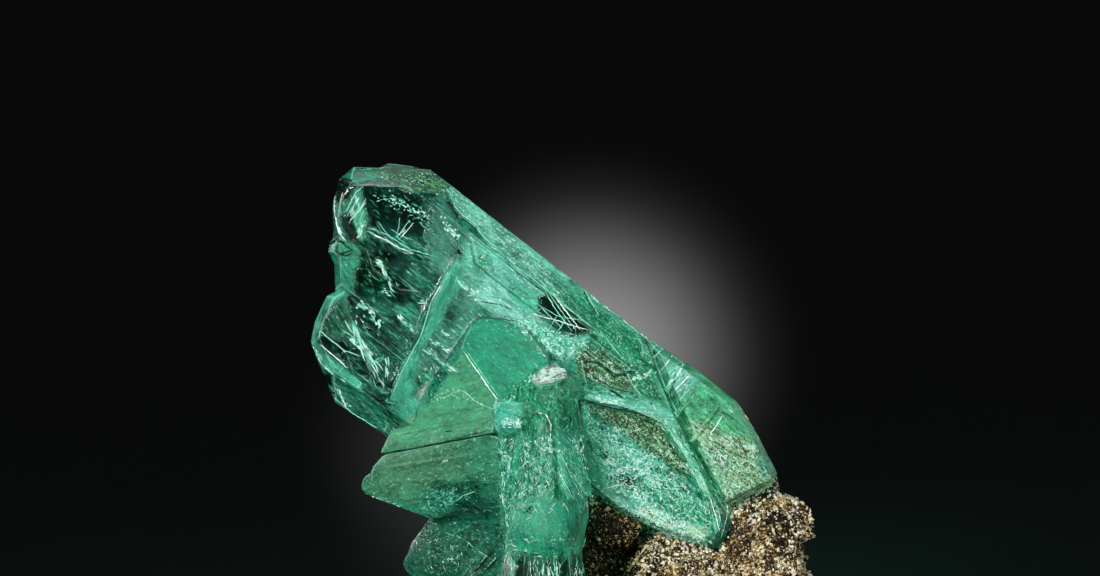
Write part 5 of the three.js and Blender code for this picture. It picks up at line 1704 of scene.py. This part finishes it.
@dataclass
class Rock:
    """The matrix: the CAD lump with a crumbly surface, and thousands of loose-looking grains.

    Few grains are much larger than the least. The shares say how thickly they lie on faces that
    are turned to the viewer and on the others.
    """

    edge: float = 1.0 * MM
    sharp_bend: float = 20.0
    crumble: float = 0.62
    grains_per_piece: int = 24000
    pieces: int = 2
    seed: int = 7
    least_grain: float = 0.07 * MM
    more_grain: float = 0.21 * MM
    grain_rarity: float = 3.5
    tips: Place = (0.4, 2.2)
    raised: float = 0.2
    front_share: float = 2.2
    back_share: float = 0.8
    clear_of_ground: float = 0.4 * MM

    def build(self) -> list[bpy.types.Object]:
        """Makes the lump and its crust of grains."""
        surface = cad_surface(MATRIX)
        finish = RockFinish("grains", 3.2).make()
        crusts = [self.crust(surface, finish, number) for number in range(self.pieces)]
        return [self.lump(surface), *crusts]

    def lump(self, surface: Surface) -> bpy.types.Object:
        """The lump's own surface, moved in and out by layered noise, but flat underneath."""
        fine = surface.refined(lambda middles: np.full(len(middles), self.edge))
        crest, fold = fine.creases(self.sharp_bend)
        fine = fine.softened(np.maximum(crest, fold), 2)
        place = to_plane(fine.points)
        pits = np.abs(layered_noise(place, 1.1, 9))
        height = self.crumble * (layered_noise(place, 2.6, 3) + 0.8 * pits - 0.35)
        above = smooth_step(0.2 * MM, 1.5 * MM, fine.points[:, 2])
        fine.points = fine.points + fine.point_normals() * (height * above * MM)[:, None]
        fine.points[:, 2] = np.maximum(fine.points[:, 2], 0.0)
        tone = 0.32 + 0.40 * layered_noise(place, 1.8, 21) + 0.16 * layered_noise(place, 7.0, 22)
        # painted shade: the rock is darkened in the recess under the plate
        tone = np.clip(tone, 0.0, 1.0) * (1.0 - self.painted_hollow_shade(place))
        numbers = {"tone": tone, "glint": np.clip(layered_noise(place, 1.3, 23), 0.0, 0.6)}
        piece = put_in_scene("rock", fine, RockFinish("rock", 3.0).make(), numbers=numbers)
        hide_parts(MATRIX)
        return piece

    @staticmethod
    def painted_hollow_shade(place: Array) -> Array:
        """Painted shade on the rock in the recess under the plate: most at the column, fading to the right
        and out.
        """
        across = smooth_step(15.0, 6.0, place[:, 0]) * smooth_step(-2.0, 1.0, place[:, 0])
        return 0.9 * across * smooth_step(26.0, 22.0, place[:, 2]) * (place[:, 1] < 2.0)

    def crust(self, surface: Surface, finish: bpy.types.Material, number: int) -> bpy.types.Object:
        """Small turned blocks scattered over the rock by area, each with one tone and glint.

        Each grain is an octahedron whose tips are pulled in and out by chance, turned by a random
        orthonormal frame and sunk a little into the rock. The side turned to the viewer has more.

        Args:
            surface: the rock's surface.
            finish: the grains' finish.
            number: which of the pieces this is, from 0.

        Returns:
            The grains as one object.
        """
        draw = np.random.default_rng(self.seed + number)
        count = self.grains_per_piece
        corners = surface.points[surface.triangles]
        area = np.linalg.norm(surface.area_normals(), axis=1)
        facing = np.where(surface.face_normals()[:, 1] < 0.2, self.front_share, self.back_share)
        chance = area * facing * (corners[..., 2].mean(axis=1) > self.clear_of_ground)
        chosen = draw.choice(len(area), count, p=chance / chance.sum())
        share = np.sort(draw.random((count, 2)), axis=1)
        weights = np.stack([share[:, 0], share[:, 1] - share[:, 0], 1.0 - share[:, 1]], 1)
        centre = np.einsum("ij,ijk->ik", weights, corners[chosen])
        size = self.least_grain + self.more_grain * draw.random(count) ** self.grain_rarity
        centre += surface.face_normals()[chosen] * (size * self.raised)[:, None]
        first = draw.normal(size=(count, 3))
        first /= np.linalg.norm(first, axis=1)[:, None]
        second = np.cross(first, draw.normal(size=(count, 3)))
        second /= np.linalg.norm(second, axis=1)[:, None]
        turn = np.stack([first, second, np.cross(first, second)], 1)
        tips = np.array([(1, 0, 0), (0, 1, 0), (-1, 0, 0), (0, -1, 0), (0, 0, 1), (0, 0, -1)], float)
        spread = tips[None] * draw.uniform(*self.tips, (count, 6, 1))
        spread += draw.uniform(-0.2, 0.2, (count, 6, 3))
        points = centre[:, None] + np.einsum("nij,njk->nik", spread * size[:, None, None], turn)
        points[..., 2] = np.maximum(points[..., 2], 0.0)
        sides = np.array([
            (0, 1, 4), (1, 2, 4), (2, 3, 4), (3, 0, 4), (1, 0, 5), (2, 1, 5), (3, 2, 5), (0, 3, 5),
        ])
        triangles = (sides[None] + 6 * np.arange(count)[:, None, None]).reshape(-1, 3)
        place = to_plane(centre)
        tone = 0.88 + 1.25 * layered_noise(place, 3.0, 41) + 0.95 * draw.normal(size=count)
        # painted shade: grains in the recess under the plate are darkened, but less than the rock
        tone = np.clip(tone, 0.0, 1.0) * (1.0 - 0.7 * self.painted_hollow_shade(place))
        glint = draw.random(count) ** 3
        numbers = {"tone": np.repeat(tone, 6), "glint": np.repeat(glint, 6)}
        grains = Surface(points.reshape(-1, 3), triangles)
        return put_in_scene(f"rock_grains_{number + 1}", grains, finish, False, numbers)


# Studio

class Lamp(Enum):
    """The soft lights on the specimen: place, aim, size, power and colour, in metres and watts."""

    KEY = ((-0.30, -0.60, 0.36), (-0.005, 0.0, 0.045), 0.22, 5.1, (1.0, 0.99, 0.97))
    FILL = ((0.42, -0.68, 0.14), (0.005, 0.0, 0.035), 0.30, 2.3, (1.0, 0.99, 0.96))
    TOP = ((0.02, 0.16, 0.62), (0.0, 0.0, 0.045), 0.30, 1.0, (0.98, 1.0, 1.0))
    RIM = ((0.42, 0.34, 0.26), (0.0, 0.0, 0.045), 0.24, 0.45, (1.0, 1.0, 1.0))
    LEFT_RIM = ((-0.46, 0.22, 0.16), (0.0, 0.0, 0.05), 0.18, 1.2, (1.0, 1.0, 1.0))


class Glow(Enum):
    """Pools of light on the floor far behind: cone in degrees, watts and aim in the picture plane."""

    BROAD = (1.94, 128.0, (3.5, -8.0, 46.2))
    CORE = (1.39, 350.0, (3.5, -8.0, 46.2))
    LOW_LEFT = (1.70, 40.0, (-10.6, -8.0, 34.0))


@dataclass
class Studio:
    """Floor, lights and camera, in metres and watts, with the aim in picture plane millimetres."""

    elevation: float = math.radians(8.0)
    distance: float = 1.5
    view_width: float = 154.0 * MM
    sensor: float = 36.0
    aim: tuple[float, float, float] = (-2.1, -8.0, 54.9)
    clip: Place = (0.01, 50.0)
    floor_radius: float = 6.0
    floor_core: float = 0.05
    floor_rings: int = 24
    floor_sides: int = 96
    floor_light_size: float = 0.3
    floor_light_spread: float = math.radians(50.0)
    floor_light_power: float = 1.6
    world_colour: Socket = rgb(0.9, 0.95, 1.0)
    world_strength: float = 0.005

    def build(self, pieces: Sequence[bpy.types.Object]) -> None:
        """Sets up all of it.

        Args:
            pieces: the specimen's pieces, which the lamps are for.
        """
        self.place_camera()
        ground = self.collection("lit floor", [self.lay_floor()])
        lit = self.collection("lit specimen", pieces)
        for lamp in Lamp:
            self.hang_lamp(lamp).light_linking.receiver_collection = lit
        self.add_floor_light().light_linking.receiver_collection = ground
        for glow in Glow:
            spot = self.add_glow(glow)
            spot.light_linking.receiver_collection = ground
            spot.light_linking.blocker_collection = ground
        self.set_world()
        bpy.context.scene.view_settings.view_transform = "Standard"

    @staticmethod
    def collection(name: str, members: Sequence[bpy.types.Object]) -> bpy.types.Collection:
        """A collection of things that a lamp shines on."""
        made = bpy.data.collections.new(name)
        for member in members:
            made.objects.link(member)
        return made

    def place_camera(self) -> None:
        """A long lens, level with the specimen and looking a little down on it."""
        data = bpy.data.cameras.new("camera")
        data.sensor_width = self.sensor
        data.lens = self.sensor * self.distance / self.view_width
        data.clip_start, data.clip_end = self.clip
        camera = bpy.data.objects.new("camera", data)
        target = Vector(to_model(np.array([self.aim]))[0])
        back = Vector((0.0, -math.cos(self.elevation), math.sin(self.elevation)))
        camera.location = target + back * self.distance
        camera.rotation_mode = "QUATERNION"
        camera.rotation_quaternion = (-back).to_track_quat("-Z", "Y")
        bpy.context.scene.collection.objects.link(camera)
        bpy.context.scene.camera = camera

    def lay_floor(self) -> bpy.types.Object:
        """A round floor just under the specimen.

        Point (i, k) lies at radius i, which grows by a fixed ratio, and at angle 2 pi k / sides.
        """
        radius = np.geomspace(self.floor_core, self.floor_radius, self.floor_rings)
        angle = np.linspace(0.0, 2.0 * math.pi, self.floor_sides, endpoint=False)
        around = np.stack([np.cos(angle), np.sin(angle), np.zeros(self.floor_sides)], 1)
        points = np.concatenate([np.zeros((1, 3)), (radius[:, None, None] * around).reshape(-1, 3)])
        number = 1 + np.arange(self.floor_rings * self.floor_sides).reshape(self.floor_rings, -1)
        after = np.roll(number, -1, axis=1)
        middle = np.stack([np.zeros(self.floor_sides, dtype=int), number[0], after[0]], 1)
        rest = np.stack([number[:-1], number[1:], after[1:], after[:-1]], -1).reshape(-1, 4)
        mesh = bpy.data.meshes.new("floor")
        mesh.from_pydata(points.tolist(), [], [*middle.tolist(), *rest.tolist()])
        mesh.materials.append(FloorFinish().make())
        floor = bpy.data.objects.new("floor", mesh)
        bpy.context.scene.collection.objects.link(floor)
        return floor

    @staticmethod
    def aimed(
        name: str, data: bpy.types.Light, place: Sequence[float], aim: Sequence[float]
    ) -> bpy.types.Object:
        """Hangs a light at a place, turned to its aim, unseen by the camera and through the crystal."""
        holder = bpy.data.objects.new(name, data)
        holder.location = place
        holder.rotation_mode = "QUATERNION"
        holder.rotation_quaternion = (Vector(aim) - Vector(place)).to_track_quat("-Z", "Y")
        holder.visible_camera = False
        holder.visible_transmission = False
        bpy.context.scene.collection.objects.link(holder)
        return holder

    @staticmethod
    def square_light(name: str, size: float, power: float) -> bpy.types.Light:
        """The data of a soft square light."""
        data = bpy.data.lights.new(name, "AREA")
        data.shape = "SQUARE"
        data.size = size
        data.energy = power
        return data

    def hang_lamp(self, lamp: Lamp) -> bpy.types.Object:
        """One soft square light."""
        place, aim, size, power, colour = lamp.value
        data = self.square_light(lamp.name.lower(), size, power)
        data.color = colour
        return self.aimed(lamp.name.lower(), data, place, aim)

    def add_floor_light(self) -> bpy.types.Object:
        """A soft light on the floor before the specimen, which falls off behind it."""
        data = self.square_light("floor_light", self.floor_light_size, self.floor_light_power)
        data.spread = self.floor_light_spread
        return self.aimed("floor_light", data, (0.0, -0.85, 0.55), (0.0, -0.60, 0.0))

    def add_glow(self, glow: Glow) -> bpy.types.Object:
        """A narrow spot that lays a soft pool of light on the floor far behind the specimen.

        Args:
            glow: its cone, power and aim.

        Returns:
            The light.
        """
        width, power, place = glow.value
        data = bpy.data.lights.new("glow", "SPOT")
        data.energy = power
        data.spot_size = math.radians(width)
        data.spot_blend = 1.0
        data.shadow_soft_size = 0.01
        aim = Vector(to_model(np.array([place]))[0])
        return self.aimed("glow", data, bpy.context.scene.camera.location, aim)

    def set_world(self) -> None:
        """Dim neutral surroundings."""
        world = bpy.data.worlds.new("world")
        world.use_nodes = True
        background = world.node_tree.nodes["Background"]
        background.inputs["Color"].default_value = self.world_colour
        background.inputs["Strength"].default_value = self.world_strength
        bpy.context.scene.world = world


def main() -> None:
    """Builds the specimen and the studio, and reports each piece."""
    logging.basicConfig(level=logging.INFO, format="%(name)s: %(message)s")
    front = Front(cad_surface(CLUSTER))
    pieces = [CrystalCluster(front).build(), FracturesAndPaintedLight(front).build(), Veils().build(), *Rock().build()]
    Studio().build(pieces)


if __name__ == "__main__":
    main()
